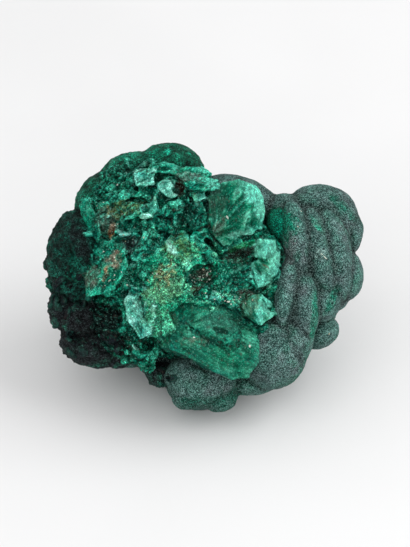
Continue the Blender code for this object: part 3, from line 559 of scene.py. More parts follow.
class Noise:
    """Steady pseudo-random fields over points, shape (n, 3)."""

    PRIMES = (73856093, 19349663, 83492791)
    SEED_PRIME = 40503
    MIXERS = ((13, 1274126177), (15, 461845907))
    POSITIVE, LOW_BITS = 0x7FFFFFFF, 0xFFFFFF
    FINER, APART, FADE, GAIN = 2.03, 17.3, 0.55, 1.6

    @classmethod
    def draw(cls, cells: Array, seed: int) -> Array:
        """One number from 0 to 1 for each whole-number cell.

        Args:
            cells: Whole-number cells, shape (n, 3).
            seed: Which field to draw from.

        Returns:
            The numbers, shape (n,).
        """
        x, y, z = (cells * cls.PRIMES).T
        mixed = x ^ y ^ z ^ (seed + 1) * cls.SEED_PRIME
        for bits, mixer in cls.MIXERS:
            mixed = (mixed ^ (mixed >> bits)) * mixer & cls.POSITIVE
        return ((mixed ^ (mixed >> 16)) & cls.LOW_BITS) / float(cls.LOW_BITS)

    @classmethod
    def smooth(cls, points: Array, seed: int) -> Array:
        """Value noise.

        Args:
            points: Where to read it, in cells.
            seed: Which field.

        Returns:
            Numbers from -1 to 1.
        """
        base = np.floor(points).astype(np.int64)
        part = points - base
        ease = part * part * (3 - 2 * part)
        total = np.zeros(len(points))
        for step in np.ndindex(2, 2, 2):
            weight = np.where(np.array(step), ease, 1 - ease).prod(axis=1)
            total += weight * cls.draw(base + step, seed)
        return total * 2 - 1

    @classmethod
    def fractal(cls, points: Array, seed: int, octaves: int = 4) -> Array:
        """Layered noise, each layer about twice as fine and half as strong.

        Args:
            points: Where to read it, in cells of the first layer.
            seed: Which field.
            octaves: How many layers.

        Returns:
            Numbers from about -1 to 1.
        """
        weights = [cls.FADE**k for k in range(octaves)]
        finer = (cls.smooth(points * cls.FINER**k + cls.APART * k, seed + k) for k in range(octaves))
        return sum(w * layer for w, layer in zip(weights, finer)) / sum(weights) * cls.GAIN

    @classmethod
    def vector(cls, points: Array, seed: int, octaves: int) -> Array:
        """Three layered fields as one vector."""
        return np.stack([cls.fractal(points, seed + k, octaves) for k in range(3)], axis=1)

    @classmethod
    def cells(cls, points: Array, seed: int) -> tuple[Array, Array, Array]:
        """Cellular noise.

        Args:
            points: Where to read it, in cells.
            seed: Which field.

        Returns:
            Distance to the nearest cell centre, that cell's own number, and the way from its centre.
        """
        base = np.floor(points).astype(np.int64)
        first = np.full(len(points), 9.0)
        own = np.zeros(len(points))
        offset = np.zeros_like(points)
        for step in np.ndindex(3, 3, 3):
            cell = base + (np.array(step) - 1)
            way = points - cell - np.stack([cls.draw(cell, seed + k) for k in range(3)], axis=1)
            away = np.sqrt((way * way).sum(axis=1))
            nearer = away < first
            own[nearer] = cls.draw(cell[nearer], seed + 3)
            offset[nearer] = way[nearer]
            first[nearer] = away[nearer]
        return first, own, offset


@dataclass(frozen=True)
class Layer:
    """A layer of noise: how strong it is, its cells to a millimetre, its seed and its octaves."""

    weight: float
    per_mm: float | Triple
    seed: int
    octaves: int = 4

    def over(self, points: Array) -> Array:
        """The layer at these points, as numbers."""
        return self.weight * Noise.fractal(points * self.per_mm, self.seed, self.octaves)

    def ways(self, points: Array) -> Array:
        """The layer at these points, as vectors."""
        return self.weight * Noise.vector(points * self.per_mm, self.seed, self.octaves)


PIT_RAGGED = Layer(0.35, 0.6, 61, 3)
BLOTCH = Layer(0.55, 0.45, 71, 3)
SPECKLE = Layer(0.35, 1.7, 72, 2)
FLECK = Layer(1.0, 1.1, 74)
STRAY = Layer(0.9, 1 / 2.4, 111)


def ramp(values: Array, low: float, high: float) -> Array:
    """Eased step from 0 at low to 1 at high."""
    part = np.clip((values - low) / (high - low), 0, 1)
    return part * part * (3 - 2 * part)


def stairs(climb: Array, edge: float) -> Array:
    """A climb turned to steps, whose risers start at this share of each tread."""
    return np.floor(climb) + ramp(climb - np.floor(climb), edge, 1)


def in_line(x: Array, y: Array, degrees: float | Array) -> tuple[Array, Array]:
    """Distances along and across a line that lies at this angle in the face plane."""
    run = np.radians(degrees)
    return x * np.cos(run) + y * np.sin(run), y * np.cos(run) - x * np.sin(run)


def turned(z: float, y: float = 0.0, x: float = 0.0) -> Matrix:
    """A turn about z, y and x, given in degrees."""
    return Euler((math.radians(x), math.radians(y), math.radians(z))).to_matrix().to_4x4()


def skewed(draw: random.Random, turn: Matrix, half: Vector) -> list[Vector]:
    """Corners of a small skewed block round its middle.

    Args:
        draw: Where its random numbers come from.
        turn: How it lies.
        half: Its half sizes.

    Returns:
        The corners.
    """
    ways = [Vector([draw.gauss(0, 1) for _ in range(3)]).normalized() for _ in range(BLOCK_CORNERS)]
    return [turn @ (way * half) for way in ways]


@dataclass(frozen=True)
class Lie:
    """What a face of a form is made of, how its fibres run and how much paler than its kind it is."""

    ore: Ore
    fibre: float = 0.0
    tint: float = 0.0
    bright: Triple | None = None
    hub: Triple | None = None


@dataclass
class Form:
    """Closed shells gathered in one bmesh, which remembers what every face is made of."""

    stock: bmesh.types.BMesh = field(default_factory=bmesh.new)
    lies: list[Lie] = field(default_factory=list)

    def _tag(self, lie: Lie) -> None:
        """Notes what the faces added last are."""
        self.lies += [lie] * (len(self.stock.faces) - len(self.lies))

    def mesh(self) -> bpy.types.Mesh:
        """Its shells as a mesh."""
        mesh = bpy.data.meshes.new("raw")
        self.stock.to_mesh(mesh)
        return mesh

    def lobes(self, lobes: Iterable[Lobe], ore: Ore | None = None, detail: int = 5) -> None:
        """Adds rounded growths.

        Args:
            lobes: The growths.
            ore: What they are all made of, or None for their own.
            detail: How finely they are divided.
        """
        for lobe in lobes:
            place = Matrix.Translation(lobe.centre) @ turned(lobe.turn) @ Matrix.Diagonal((*lobe.radii, 1))
            bmesh.ops.create_icosphere(self.stock, subdivisions=detail, radius=1.0, matrix=place)
            self._tag(Lie(ore or lobe.ore, 25.0))

    def hull(self, points: list[Vector], lie: Lie) -> None:
        """Adds the convex block round some points.

        Args:
            points: The points.
            lie: What it is made of.
        """
        made = bmesh.ops.convex_hull(self.stock, input=[self.stock.verts.new(p) for p in points])
        spare = {v for v in made["geom_interior"] + made["geom_unused"] if isinstance(v, bmesh.types.BMVert)}
        bmesh.ops.delete(self.stock, geom=list(spare), context="VERTS")
        self._tag(lie)

    def shards(self, shards: Iterable[Shard]) -> None:
        """Adds broken blocks with their roots.

        Args:
            shards: The blocks.
        """
        for shard in shards:
            corners = [Vector(c) for c in shard.corners]
            middle = sum(corners, Vector()) / len(corners)
            root = [middle + (c - middle) * shard.taper - Vector((0, 0, shard.root)) for c in corners]
            self.hull(corners + root, Lie(shard.ore, shard.fibre, shard.tint, shard.bright, shard.hub))

    def rubble(self, rubble: Rubble, seed: int, surface: BVHTree) -> None:
        """Sets a patch of small skewed ledges into a surface.

        Args:
            rubble: The patch.
            seed: Which scatter.
            surface: What they are set into.
        """
        draw = random.Random(seed)
        kinds = random.Random(seed + 100)
        for _ in range(rubble.count):
            angle = draw.uniform(0, math.tau)
            reach = math.sqrt(draw.random())
            x = rubble.centre[0] + rubble.spread[0] * reach * math.cos(angle)
            y = rubble.centre[1] + rubble.spread[1] * reach * math.sin(angle)
            lift = draw.uniform(*LEDGE_LIFT) * rubble.lift
            long = draw.uniform(*rubble.size)
            half = Vector((long, *(long * draw.uniform(*LEDGE_GIRTH) for _ in range(2))))
            lie, *tips = (draw.uniform(-most, most) for most in LEDGE_TIPS)
            lie += rubble.lie
            block = skewed(draw, turned(lie, *tips), half)
            ground = surface.ray_cast(Vector((x, y, HIGH_ABOVE)), Vector((0, 0, -1)))[0]
            if ground:
                ore = kinds.choices((rubble.ore, *STRAY_ORES), STRAY_SHARES)[0]
                ore = rubble.ore if rubble.ore in DARK_ORES else ore
                seat = Vector((x, y, ground.z + lift))
                tint = kinds.uniform(-LEDGE_TINT, LEDGE_TINT)
                # Each ledge takes a painted highlight on faces turned up and to the right, towards the key
                # light.
                self.hull([seat + corner for corner in block], Lie(ore, lie, tint, UP_RIGHT))


class Bench:
    """Holds meshes while they are worked."""

    @staticmethod
    def put(data: bpy.types.ID, name: str) -> bpy.types.Object:
        """An object with this mesh, light or camera, in the scene."""
        obj = bpy.data.objects.new(name, data)
        bpy.context.scene.collection.objects.link(obj)
        return obj

    @classmethod
    def modified(cls, mesh: bpy.types.Mesh, kind: str, **settings: object) -> bpy.types.Mesh:
        """A mesh with one modifier applied.

        Args:
            mesh: The mesh.
            kind: The modifier's type.
            settings: The modifier's settings.

        Returns:
            The new mesh.
        """
        obj = cls.put(mesh, "raw")
        modifier = obj.modifiers.new("work", kind)
        for key, value in settings.items():
            setattr(modifier, key, value)
        graph = bpy.context.evaluated_depsgraph_get()
        mesh = bpy.data.meshes.new_from_object(obj.evaluated_get(graph))
        bpy.data.objects.remove(obj)
        return mesh

    @classmethod
    def fused(cls, mesh: bpy.types.Mesh, voxel: float) -> bpy.types.Mesh:
        """One closed skin round every shell of this mesh."""
        return cls.modified(mesh, "REMESH", mode="VOXEL", voxel_size=voxel)

    @staticmethod
    def cut(mesh: bpy.types.Mesh, height: float) -> None:
        """Cuts off what lies below a height and closes the cut flat.

        Args:
            mesh: What is cut.
            height: The height.
        """
        bm = bmesh.new()
        bm.from_mesh(mesh)
        everything = bm.verts[:] + bm.edges[:] + bm.faces[:]
        made = bmesh.ops.bisect_plane(
            bm, geom=everything, plane_co=(0, 0, height), plane_no=(0, 0, 1), clear_inner=True
        )
        rim = [e for e in made["geom_cut"] if isinstance(e, bmesh.types.BMEdge)]
        bmesh.ops.holes_fill(bm, edges=rim)
        bmesh.ops.triangulate(bm, faces=[f for f in bm.faces if len(f.verts) > 4])
        bm.to_mesh(mesh)
        bm.free()


@dataclass
class Skin:
    """A closed skin in the face frame, read as arrays."""

    mesh: bpy.types.Mesh

    @staticmethod
    def _rows(items: bpy.types.bpy_prop_collection, key: str, width: int, kind: type) -> Array:
        """One setting of many items, a row for each."""
        flat = np.empty(len(items) * width, kind)
        items.foreach_get(key, flat)
        return flat.reshape(-1, width)

    def points(self) -> Array:
        """Its vertices, shape (n, 3)."""
        return self._rows(self.mesh.vertices, "co", 3, np.float32).astype(float)

    def normals(self) -> Array:
        """Its vertex normals, shape (n, 3)."""
        return self._rows(self.mesh.vertex_normals, "vector", 3, np.float32).astype(float)

    def move(self, points: Array) -> None:
        """Puts its vertices at these points."""
        self.mesh.vertices.foreach_set("co", points.astype(np.float32).ravel())
        self.mesh.update()

    def thinned(self, triangles: int) -> Skin:
        """The same skin with this many triangles at most."""
        share = min(1.0, triangles / (2 * len(self.mesh.polygons)))
        return Skin(Bench.modified(self.mesh, "DECIMATE", ratio=share, use_collapse_triangulate=True))

    def relaxed(self, values: Array, rounds: int) -> Array:
        """Values averaged with their neighbours'.

        Args:
            values: A row for each vertex.
            rounds: How many times.

        Returns:
            The averaged values.
        """
        start, end = self._rows(self.mesh.edges, "vertices", 2, np.int32).T
        count = len(values)
        degree = np.maximum(np.bincount(start, minlength=count) + np.bincount(end, minlength=count), 1)
        for _ in range(rounds):
            near = [np.bincount(start, c[end], count) + np.bincount(end, c[start], count) for c in values.T]
            values = (values + np.stack(near, axis=1) / degree[:, None]) / 2
        return values

    def relief(self, rounds: int) -> Array:
        """How far each vertex stands out from its smoothed surroundings, in millimetres."""
        points = self.points()
        return ((points - self.relaxed(points, rounds)) * self.normals()).sum(axis=1)

    def store(self, name: str, values: Array) -> None:
        """Writes a number, a vector or a colour for each vertex.

        Args:
            name: What the attribute is called.
            values: Shape (n,), (n, 3) or (n, 4).
        """
        kinds = {1: ("FLOAT", "value"), 3: ("FLOAT_VECTOR", "vector"), 4: ("FLOAT_COLOR", "color")}
        kind, key = kinds[values.size // len(values)]
        attribute = self.mesh.attributes.new(name, kind, "POINT")
        attribute.data.foreach_set(key, values.astype(np.float32).ravel())


def pressed(points: Array) -> Array:
    """Sinks points to the ragged floors of the pits that they lie in.

    Args:
        points: The points, shape (n, 3).

    Returns:
        The sunk points.
    """
    points = points.copy()
    for pit in PITS:
        along, across = in_line(points[:, 0] - pit.centre[0], points[:, 1] - pit.centre[1], pit.turn)
        wide, high, deep = pit.radii
        inside = 1 - (along / wide) ** 2 - (across / high) ** 2
        near = np.flatnonzero((inside > -PIT_MARGIN) & (points[:, 2] > pit.centre[2] - deep - 1))
        inside = inside[near] + PIT_RAGGED.over(points[near])
        floor = pit.centre[2] - deep * np.sqrt(np.clip(inside, 0, None))
        points[near, 2] = np.where(inside > 0, np.minimum(points[near, 2], floor), points[near, 2])
    return points


@dataclass
class Growth:
    """The rounded lobes of the whole stone, and how far a point lies from the creases between them.

    Args:
        knob_count: How many knobs are spread over the egg that the back fills.
        egg_centre: Its centre.
        egg_radii: Its radii.
        knob_sizes: The smallest and largest knob radius.
        knob_squash: How much narrower than long a knob is, at most and at least.
        knob_depth: Its depth as a share of its length.
        knob_front: No knob stands further to the front than this share of the egg.
        seed: Which spread of sizes.
    """

    knob_count: int = 120
    egg_centre: Triple = (0.0, -1.5, -13.0)
    egg_radii: Triple = (48.0, 35.5, 32.0)
    knob_sizes: Pair = (6.0, 11.0)
    knob_squash: Pair = (0.75, 1.0)
    knob_depth: float = 0.95
    knob_front: float = 0.1
    seed: int = 4

    def outer(self) -> list[Lobe]:
        """Finds the lobes round the core.

        Returns:
            Those of the front, then the knobs of the back and underside.
        """
        draw = random.Random(self.seed)
        golden = math.pi * (3 - math.sqrt(5))
        found = list(CRUST)
        for i in range(self.knob_count):
            along = 1 - 2 * (i + 0.5) / self.knob_count
            ring = math.sqrt(1 - along * along)
            way = Vector((ring * math.cos(golden * i), ring * math.sin(golden * i), -along))
            size = draw.uniform(*self.knob_sizes)
            squash = draw.uniform(*self.knob_squash)
            spin = draw.uniform(0, 180)
            if way.z <= self.knob_front:
                reach = Vector(self.egg_radii) - Vector((size, size, size))
                centre = Vector(self.egg_centre) + way * reach
                radii = (size, size * squash, size * self.knob_depth)
                found.append(Lobe("knob", tuple(centre), radii, spin))
        return found

    def lobes(self) -> list[Lobe]:
        """Every lobe of the crust."""
        return [*CORE, *self.outer()]

    def nearest(self, points: Array) -> tuple[Array, Array]:
        """The lobe whose surface each point lies on, and how far off the crease with the next one is.

        Args:
            points: The points, shape (n, 3).

        Returns:
            The lobes' numbers and the distances.
        """
        first = np.full(len(points), 99.0)
        second = first.copy()
        owner = np.zeros(len(points), int)
        for number, lobe in enumerate(self.lobes()):
            back = np.array(turned(lobe.turn).to_3x3().inverted())
            unit = (points - np.array(lobe.centre)) @ back.T / np.array(lobe.radii)
            away = np.abs((np.linalg.norm(unit, axis=1) - 1) * min(lobe.radii))
            closer = away < first
            second = np.where(closer, first, np.minimum(second, away))
            owner = np.where(closer, number, owner)
            first = np.where(closer, away, first)
        return owner, second - first

    def finish(self, part: str, owner: Array) -> Array:
        """One setting of the finish of the lobe that owns each point."""
        return np.array([getattr(FINISHES[lobe.ore], part) for lobe in self.lobes()])[owner]


def tinged(tone: Array, colour: Array | Rgb, part: Array) -> Array:
    """Colours drawn towards another one, by a part for each point."""
    return tone + (np.array(colour) - tone) * part[:, None]


def graded(value: Array, deep: Array, body: Array, pale: Array) -> Array:
    """Colours from deep at 0 through body at 0.5 to pale at 1."""
    low, high = np.clip(value * 2, 0, 1), np.clip(value * 2 - 1, 0, 1)
    return tinged(tinged(deep, body, low), pale, high)


def stained(points: Array, tone: Array) -> Array:
    """Colours with the stains soaked in.

    Args:
        points: Where the colours are.
        tone: The colours, shape (n, 3).

    Returns:
        The stained colours.
    """
    ragged = BLOTCH.over(points) + SPECKLE.over(points)
    fleck = ramp(FLECK.over(points), -0.45, 0.45)
    for stain in STAINS:
        away = points - np.array(stain.centre)
        along, across = in_line(away[:, 0], away[:, 1], stain.turn)
        wide, high, deep = stain.reach
        far = (along / wide) ** 2 + (across / high) ** 2 + (away[:, 2] / deep) ** 2
        soaked = stain.strength * ramp(1.25 - far + ragged, 0, 0.7)
        tone = tinged(tone, stain.colour, soaked * (stain.even + (1 - stain.even) * fleck))
    return tone


@dataclass
class Piece:
    """A finished piece of the stone.

    Args:
        name: What the piece is called.
        voxel: How fine its skin is, in millimetres.
        triangles: How many triangles it may have.
    """

    name: str
    voxel: float
    triangles: int = MOST_TRIANGLES

    def carved(self, form: Form, floor: float | None = None) -> Skin:
        """One closed skin round a form, with the pits pressed in.

        Args:
            form: The form.
            floor: Where its back is cut off, or None.

        Returns:
            The skin.
        """
        skin = Skin(Bench.fused(form.mesh(), self.voxel))
        skin.move(pressed(skin.points()))
        if floor is not None:
            Bench.cut(skin.mesh, floor)
        return Skin(Bench.fused(skin.mesh, self.voxel))

    def stand(self, mesh: bpy.types.Mesh, material: bpy.types.Material) -> bpy.types.Object:
        """Turns a worked mesh into the piece, standing on its flats.

        Args:
            mesh: The mesh, in the face frame.
            material: What it is dressed in.

        Returns:
            The piece.
        """
        mesh.transform(STANCE.matrix())
        Bench.cut(mesh, 0.0)
        mesh.materials.clear()
        mesh.materials.append(material)
        obj = Bench.put(mesh, self.name)
        bm = bmesh.new()
        bm.from_mesh(mesh)
        for face in bm.faces:
            face.smooth = True
        bm.to_mesh(mesh)
        bm.free()
        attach(obj, BODY)
        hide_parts(NODE)
        LOG.info("%s: %d faces", self.name, len(mesh.polygons))
        return obj

    @staticmethod
    def coloured(skin: Skin, tone: Array, wear_and_shade: Array, grit: Array) -> None:
        """Writes what the materials read at each vertex.

        Args:
            skin: The piece's skin.
            tone: Its colours.
            wear_and_shade: How far its edges stand out, from -0.5 to 0.5; the materials paint ridges paler
                and hollows darker from it, partly wear and partly painted shade.
            grit: How strongly its fine grit shows.
        """
        skin.store("tone", np.column_stack([np.clip(tone, DARKEST, 1), np.ones(len(tone))]))
        skin.store("wear_and_shade", np.clip(0.5 + wear_and_shade, 0, 1))
        skin.store("grit", grit)


@dataclass
class Crust(Piece):
    """The velvety lobes all round the stone.

    Args:
        core_drop: How far its middle lies below the broken side, in millimetres.
        rounds: How often it is smoothed before it is shaped, and to find its edges.
        bend: How the rows of its buds and ledges bend.
        buds: The height, the size and the seed of its buds.
        swell: Its broad waves.
        ripple: Its fine waves.
        ledges: How its rough lobes climb in steps.
        crumble: How they crumble between the steps.
        mid: How far its colour stands from its deepest to its palest.
        drift: The slow change of its colours.
        patch: Their quick change.
        dusk: Where they turn warmer or cooler, and by how much in red, green and blue.
        rubbed: The colour of its rubbed edges.
    """

    core_drop: float = 3.0
    rounds: tuple[int, int] = (4, 24)
    bend: Layer = Layer(0.5, 0.3, 11, 1)
    buds: tuple[tuple[float, float, int], ...] = ((0.10, 6.5, 21), (0.08, 2.6, 25))
    swell: Layer = Layer(0.30, 1 / 6, 31, 3)
    ripple: Layer = Layer(0.10, 1 / 1.6, 35, 2)
    ledges: Layer = Layer(2.5, (0.22, 0.5, 0.3), 37)
    crumble: Layer = Layer(0.35, 1 / 2, 39, 3)
    mid: float = 0.43
    drift: Layer = Layer(1.0, 1 / 9, 41)
    patch: Layer = Layer(1.0, 1 / 3, 45, 3)
    dusk: tuple[Layer, Rgb] = (Layer(1.0, 1 / 3.6, 49), (0.45, -0.10, 0.04))
    rubbed: Rgb = (0.010, 0.105, 0.066)

    def build(self, growth: Growth, material: bpy.types.Material) -> bpy.types.Object:
        """Fuses, shapes and dresses the crust.

        Args:
            growth: The lobes.
            material: What it is dressed in.

        Returns:
            The piece.
        """
        form = Form()
        drop = Vector((0, 0, self.core_drop))
        form.lobes([replace(lobe, centre=tuple(Vector(lobe.centre) - drop)) for lobe in CORE])
        form.lobes(growth.outer())
        skin = self.carved(form)
        self.shape(skin, growth)
        skin = skin.thinned(self.triangles)
        self.paint(skin, growth)
        return self.stand(skin.mesh, material)

    def shape(self, skin: Skin, growth: Growth) -> None:
        """Raises buds and gentle waves on the lobes, and rough ledges on the dark ones.

        Args:
            skin: The crust.
            growth: Its lobes.
        """
        points = skin.relaxed(skin.points(), self.rounds[0])
        bent = points + self.bend.ways(points)
        rise = self.swell.over(points) + self.ripple.over(points)
        for height, size, seed in self.buds:
            rise += height * (0.5 - Noise.cells(bent / size, seed)[0])
        rough = growth.finish("steps", growth.nearest(points)[0])
        rise += rough * (0.45 * stairs(self.ledges.over(bent), 0.5) + self.crumble.over(points))
        skin.move(points + skin.normals() * rise[:, None])

    def paint(self, skin: Skin, growth: Growth) -> None:
        """Gives each lobe its ore's colour, with painted shade in the creases between lobes and in hollows,
        paler ridges and greener rubbed edges.

        Args:
            skin: The shaped crust.
            growth: Its lobes.
        """
        points = skin.points()
        owner, seam = growth.nearest(points)
        deep, body, pale, grit = (growth.finish(part, owner) for part in ("deep", "colour", "pale", "grit"))
        drift, patch = self.drift.over(points), self.patch.over(points)
        edge = skin.relief(self.rounds[1])
        # The edge term is painted light and shade: paler on ridges, darker in hollows.
        value = self.mid + 0.18 * drift + (0.42 - 0.30 * grit) * patch + 0.6 * edge
        # Painted shade: darker towards the creases between lobes.
        value = np.minimum(value, 0.75) * (0.15 + 0.85 * ramp(seam, -0.1, 0.5))
        layer, cast = self.dusk
        tone = graded(value, deep, body, pale) * np.exp((layer.over(points) * grit)[:, None] * cast)
        band = ramp(seam, 0.2, 0.8) * (1 - ramp(seam, 1.2, 2.6)) * ramp(patch + 0.6 * drift, -0.1, 0.7)
        band = np.maximum(band, ramp(0.8 * drift + 0.6 * patch, 0.35, 0.9))
        tone = stained(points, tinged(tone, self.rubbed, 0.62 * band))
        greenness = ramp(tone[:, 1] / np.maximum(tone[:, 0], DARKEST), 4, 12)
        self.coloured(skin, tone, edge * 1.5, grit * (1 - 0.75 * greenness))


@dataclass
class Weave:
    """What a skin is made of at each of its points, and how the fibres run there."""

    points: Array
    lies: list[Lie]
    face: Array

    @classmethod
    def over(cls, points: Array, form: Form, source: BVHTree) -> Weave:
        """Reads it off the form's nearest faces, along ragged borders.

        Args:
            points: The skin's points.
            form: What the skin was made from.
            source: The form's faces.

        Returns:
            The weave.
        """
        strayed = points + STRAY.ways(points)
        return cls(points, form.lies, np.array([source.find_nearest(Vector(p))[2] for p in strayed]))

    def each(self, read: Callable[[Lie], object]) -> Array:
        """What this reads from the lie of each point."""
        return np.array([read(lie) for lie in self.lies], float)[self.face]

    def finish(self, part: str) -> Array:
        """One setting of the ore's finish at each point."""
        return self.each(lambda lie: getattr(FINISHES[lie.ore], part))

    def spread(self) -> Array:
        """Each point measured along its fibres, across them and in depth.

        Returns:
            The measures, shape (n, 3).
        """
        x, y, z = self.points.T
        along, across = in_line(x, y, self.each(lambda lie: lie.fibre))
        from_hub, turn, has_hub = self.polar()
        along, across = np.where(has_hub, from_hub, along), np.where(has_hub, turn * FAN_SPREAD, across)
        return np.stack([along, across, z], axis=1)

    def polar(self) -> tuple[Array, Array, Array]:
        """Distance from the hub of radiating fibres, the angle round it and whether there is a hub."""
        hubs = self.each(lambda lie: lie.hub or (0, 0, 0))
        x, y = self.points[:, 0] - hubs[:, 0], self.points[:, 1] - hubs[:, 1]
        return np.hypot(x, y), np.arctan2(y, x), hubs[:, 2] > 0

    def shine(self, normals: Array) -> Array:
        """How much painted highlight each point takes: on faces turned the block's lit way, and along the
        fan's rim towards the key light.

        Args:
            normals: The way each point faces.

        Returns:
            Numbers from -1 to 1.
        """
        lit_ways = self.each(lambda lie: lie.bright or (0, 0, 0))
        lit_ways /= np.maximum(np.linalg.norm(lit_ways, axis=1), 0.001)[:, None]
        from_hub, turn, has_hub = self.polar()
        reach = self.each(lambda lie: lie.hub[2] if lie.hub else 1)
        rim_highlight = FAN_HIGHLIGHT * (from_hub / reach) ** 4 * (0.3 + 0.7 * np.cos(turn - FAN_AIM))
        return np.where(has_hub, rim_highlight - 0.25, (normals * lit_ways).sum(axis=1))


@dataclass
class Break(Piece):
    """The broken side: blocks, fans, ledges and crumbs of bright ore.

    Args:
        floor: Where its hidden back is cut off, in the face frame.
        light: The way towards the key light: faces turned that way are painted paler and those turned away
            darker, as painted light and shade.
        rounds: How often it is smoothed to find its edges and its broad forms.
        bulge: How its blocks bulge.
        ragged: How ragged its faces are.
        facets: The size, the tilt and the seed of its small faces.
        climb: How its faces climb in steps.
        folds: Long low folds along the fibres.
        ridges: The fibres' own ridges.
        grains: The size and the seed of its grains.
        mid: How far its colour stands from its deepest to its palest.
        drift: The slow change of its colours.
        streak: Their change from fibre to fibre.
        needle: Thin streaks on fibrous ore.
        warmth: Where they turn warmer or cooler, and by how much in red, green and blue.
    """

    floor: float = 0.0
    light: Triple = (0.66, 0.55, 0.51)
    rounds: tuple[int, int] = (10, 60)
    bulge: Layer = Layer(1.0, 1 / 7, 125, 3)
    ragged: Layer = Layer(0.8, 1 / 2.2, 121, 3)
    facets: tuple[tuple[float, float, int], ...] = ((5.2, 0.45, 84), (2.4, 0.36, 85), (1.3, 0.28, 86))
    climb: Layer = Layer(3.5, (0.12, 0.28, 0.2), 81, 3)
    folds: Layer = Layer(0.35, (0.07, 0.24, 0.15), 82, 3)
    ridges: Layer = Layer(1.0, (0.14, 0.95, 0.5), 91, 3)
    grains: tuple[float, int] = (1.1, 95)
    mid: float = 0.42
    drift: Layer = Layer(0.28, 1 / 5, 101)
    streak: Layer = Layer(1.0, (0.16, 0.8, 0.5), 105)
    needle: Layer = Layer(0.22, (0.35, 2.6, 0.9), 107, 3)
    warmth: tuple[Layer, Rgb] = (Layer(1.0, 1 / 3.4, 131), (0.7, 0.04, -0.12))

    def build(self, growth: Growth, material: bpy.types.Material) -> bpy.types.Object:
        """Fuses, shapes and dresses the broken side.

        Args:
            growth: The lobes round it, on which its rubble lies too.
            material: What it is dressed in.

        Returns:
            The piece.
        """
        form = Form()
        form.lobes(CORE, Ore.BED)
        form.lobes(BED)
        form.shards(SHARDS)
        whole = Form(form.stock.copy())
        whole.lobes(growth.outer(), detail=4)
        surface = BVHTree.FromBMesh(whole.stock)
        for seed, rubble in enumerate(RUBBLE, 1):
            form.rubble(rubble, seed, surface)
        form.shards(PLATES)
        source = BVHTree.FromBMesh(form.stock)
        skin = self.carved(form, self.floor)
        self.shape(skin, Weave.over(skin.points(), form, source))
        skin = skin.thinned(self.triangles)
        self.paint(skin, Weave.over(skin.points(), form, source))
        return self.stand(skin.mesh, material)

    def shape(self, skin: Skin, weave: Weave) -> None:
        """Breaks the blocks' faces into steps, facets, fibres and grains.

        Args:
            skin: The broken side.
            weave: What it is made of.
        """
        points = skin.points()
        facets = weave.finish("facets")
        loose = ramp(facets, 0.02, 0.2)[:, None]
        worn = skin.relaxed(points, 1)
        worn += (skin.relaxed(worn, 2) - worn) * loose
        bulge = self.bulge.ways(points) * (0.35 + 0.55 * loose)
        ragged = self.ragged.ways(points) * (0.10 + facets)[:, None]
        woven = weave.spread()
        rise = weave.finish("steps") * 0.35 * stairs(self.climb.over(woven), 0.6) + self.folds.over(woven)
        for size, tilt, seed in self.facets:
            _, own, offset = Noise.cells(points / size, seed)
            keys = np.floor(own[:, None] * (9973, 7919, 6311)).astype(np.int64)
            lean = np.stack([Noise.draw(keys, seed + k) for k in range(3)], axis=1) - 0.5
            rise += facets * tilt * size * (offset * lean).sum(axis=1) * 2
        ridge = 1 - np.abs(self.ridges.over(woven))
        rise += weave.finish("fibres") * (ridge - 0.6) * 1.4
        size, seed = self.grains
        grain, own, _ = Noise.cells(points / size, seed)
        rise += weave.finish("grains") * (0.5 * (0.45 - grain) + 0.5 * (own - 0.5))
        skin.move(worn + bulge + ragged + skin.normals() * rise[:, None])

    def paint(self, skin: Skin, weave: Weave) -> None:
        """Gives each block its ore's colours, with painted light: paler where faces turn towards the key
        light and on ridges, and painted shade in hollows.

        Args:
            skin: The shaped broken side.
            weave: What it is made of.
        """
        points, normals, woven = skin.points(), skin.normals(), weave.spread()
        streak = self.streak.over(woven)
        needle = self.needle.over(woven) * ramp(weave.finish("fibres"), 0, 0.1)
        facet, chip = (Noise.cells(points / size, seed)[1] - 0.5 for size, _, seed in self.facets[1:])
        edge, broad = (skin.relief(rounds) for rounds in self.rounds)
        value = self.mid + weave.each(lambda lie: lie.tint) + self.drift.over(points) + 0.26 * streak + needle
        value += weave.finish("facets").clip(0.2, 0.6) * (0.4 * facet + 0.3 * chip)
        # Painted highlight on faces turned the block's lit way and along the fan's rim, streaked along the
        # fibres.
        value += 0.62 * ramp(weave.shine(normals) + 0.40 * streak, 0.30, 0.95)
        # Painted light: paler where a face turns towards the key light, darker where it turns away.
        value += 0.30 * (normals @ self.light - 0.45)
        # Painted shade in hollows and painted light on ridges, at a fine and a broad scale.
        value += 0.55 * np.clip(edge, -0.35, 0.35) + 0.22 * np.clip(broad, -0.8, 0.4)
        tone = graded(value, *(weave.finish(part) for part in ("deep", "colour", "pale")))
        layer, cast = self.warmth
        warmth = layer.over(points) * (1.2 - np.clip(value, 0, 1))
        tone = stained(points, tone * np.exp(warmth[:, None] * cast))
        self.coloured(skin, tone, edge * 2.0, weave.finish("grit"))
        skin.store("weave", woven * (0.15, 1.0, 0.6))


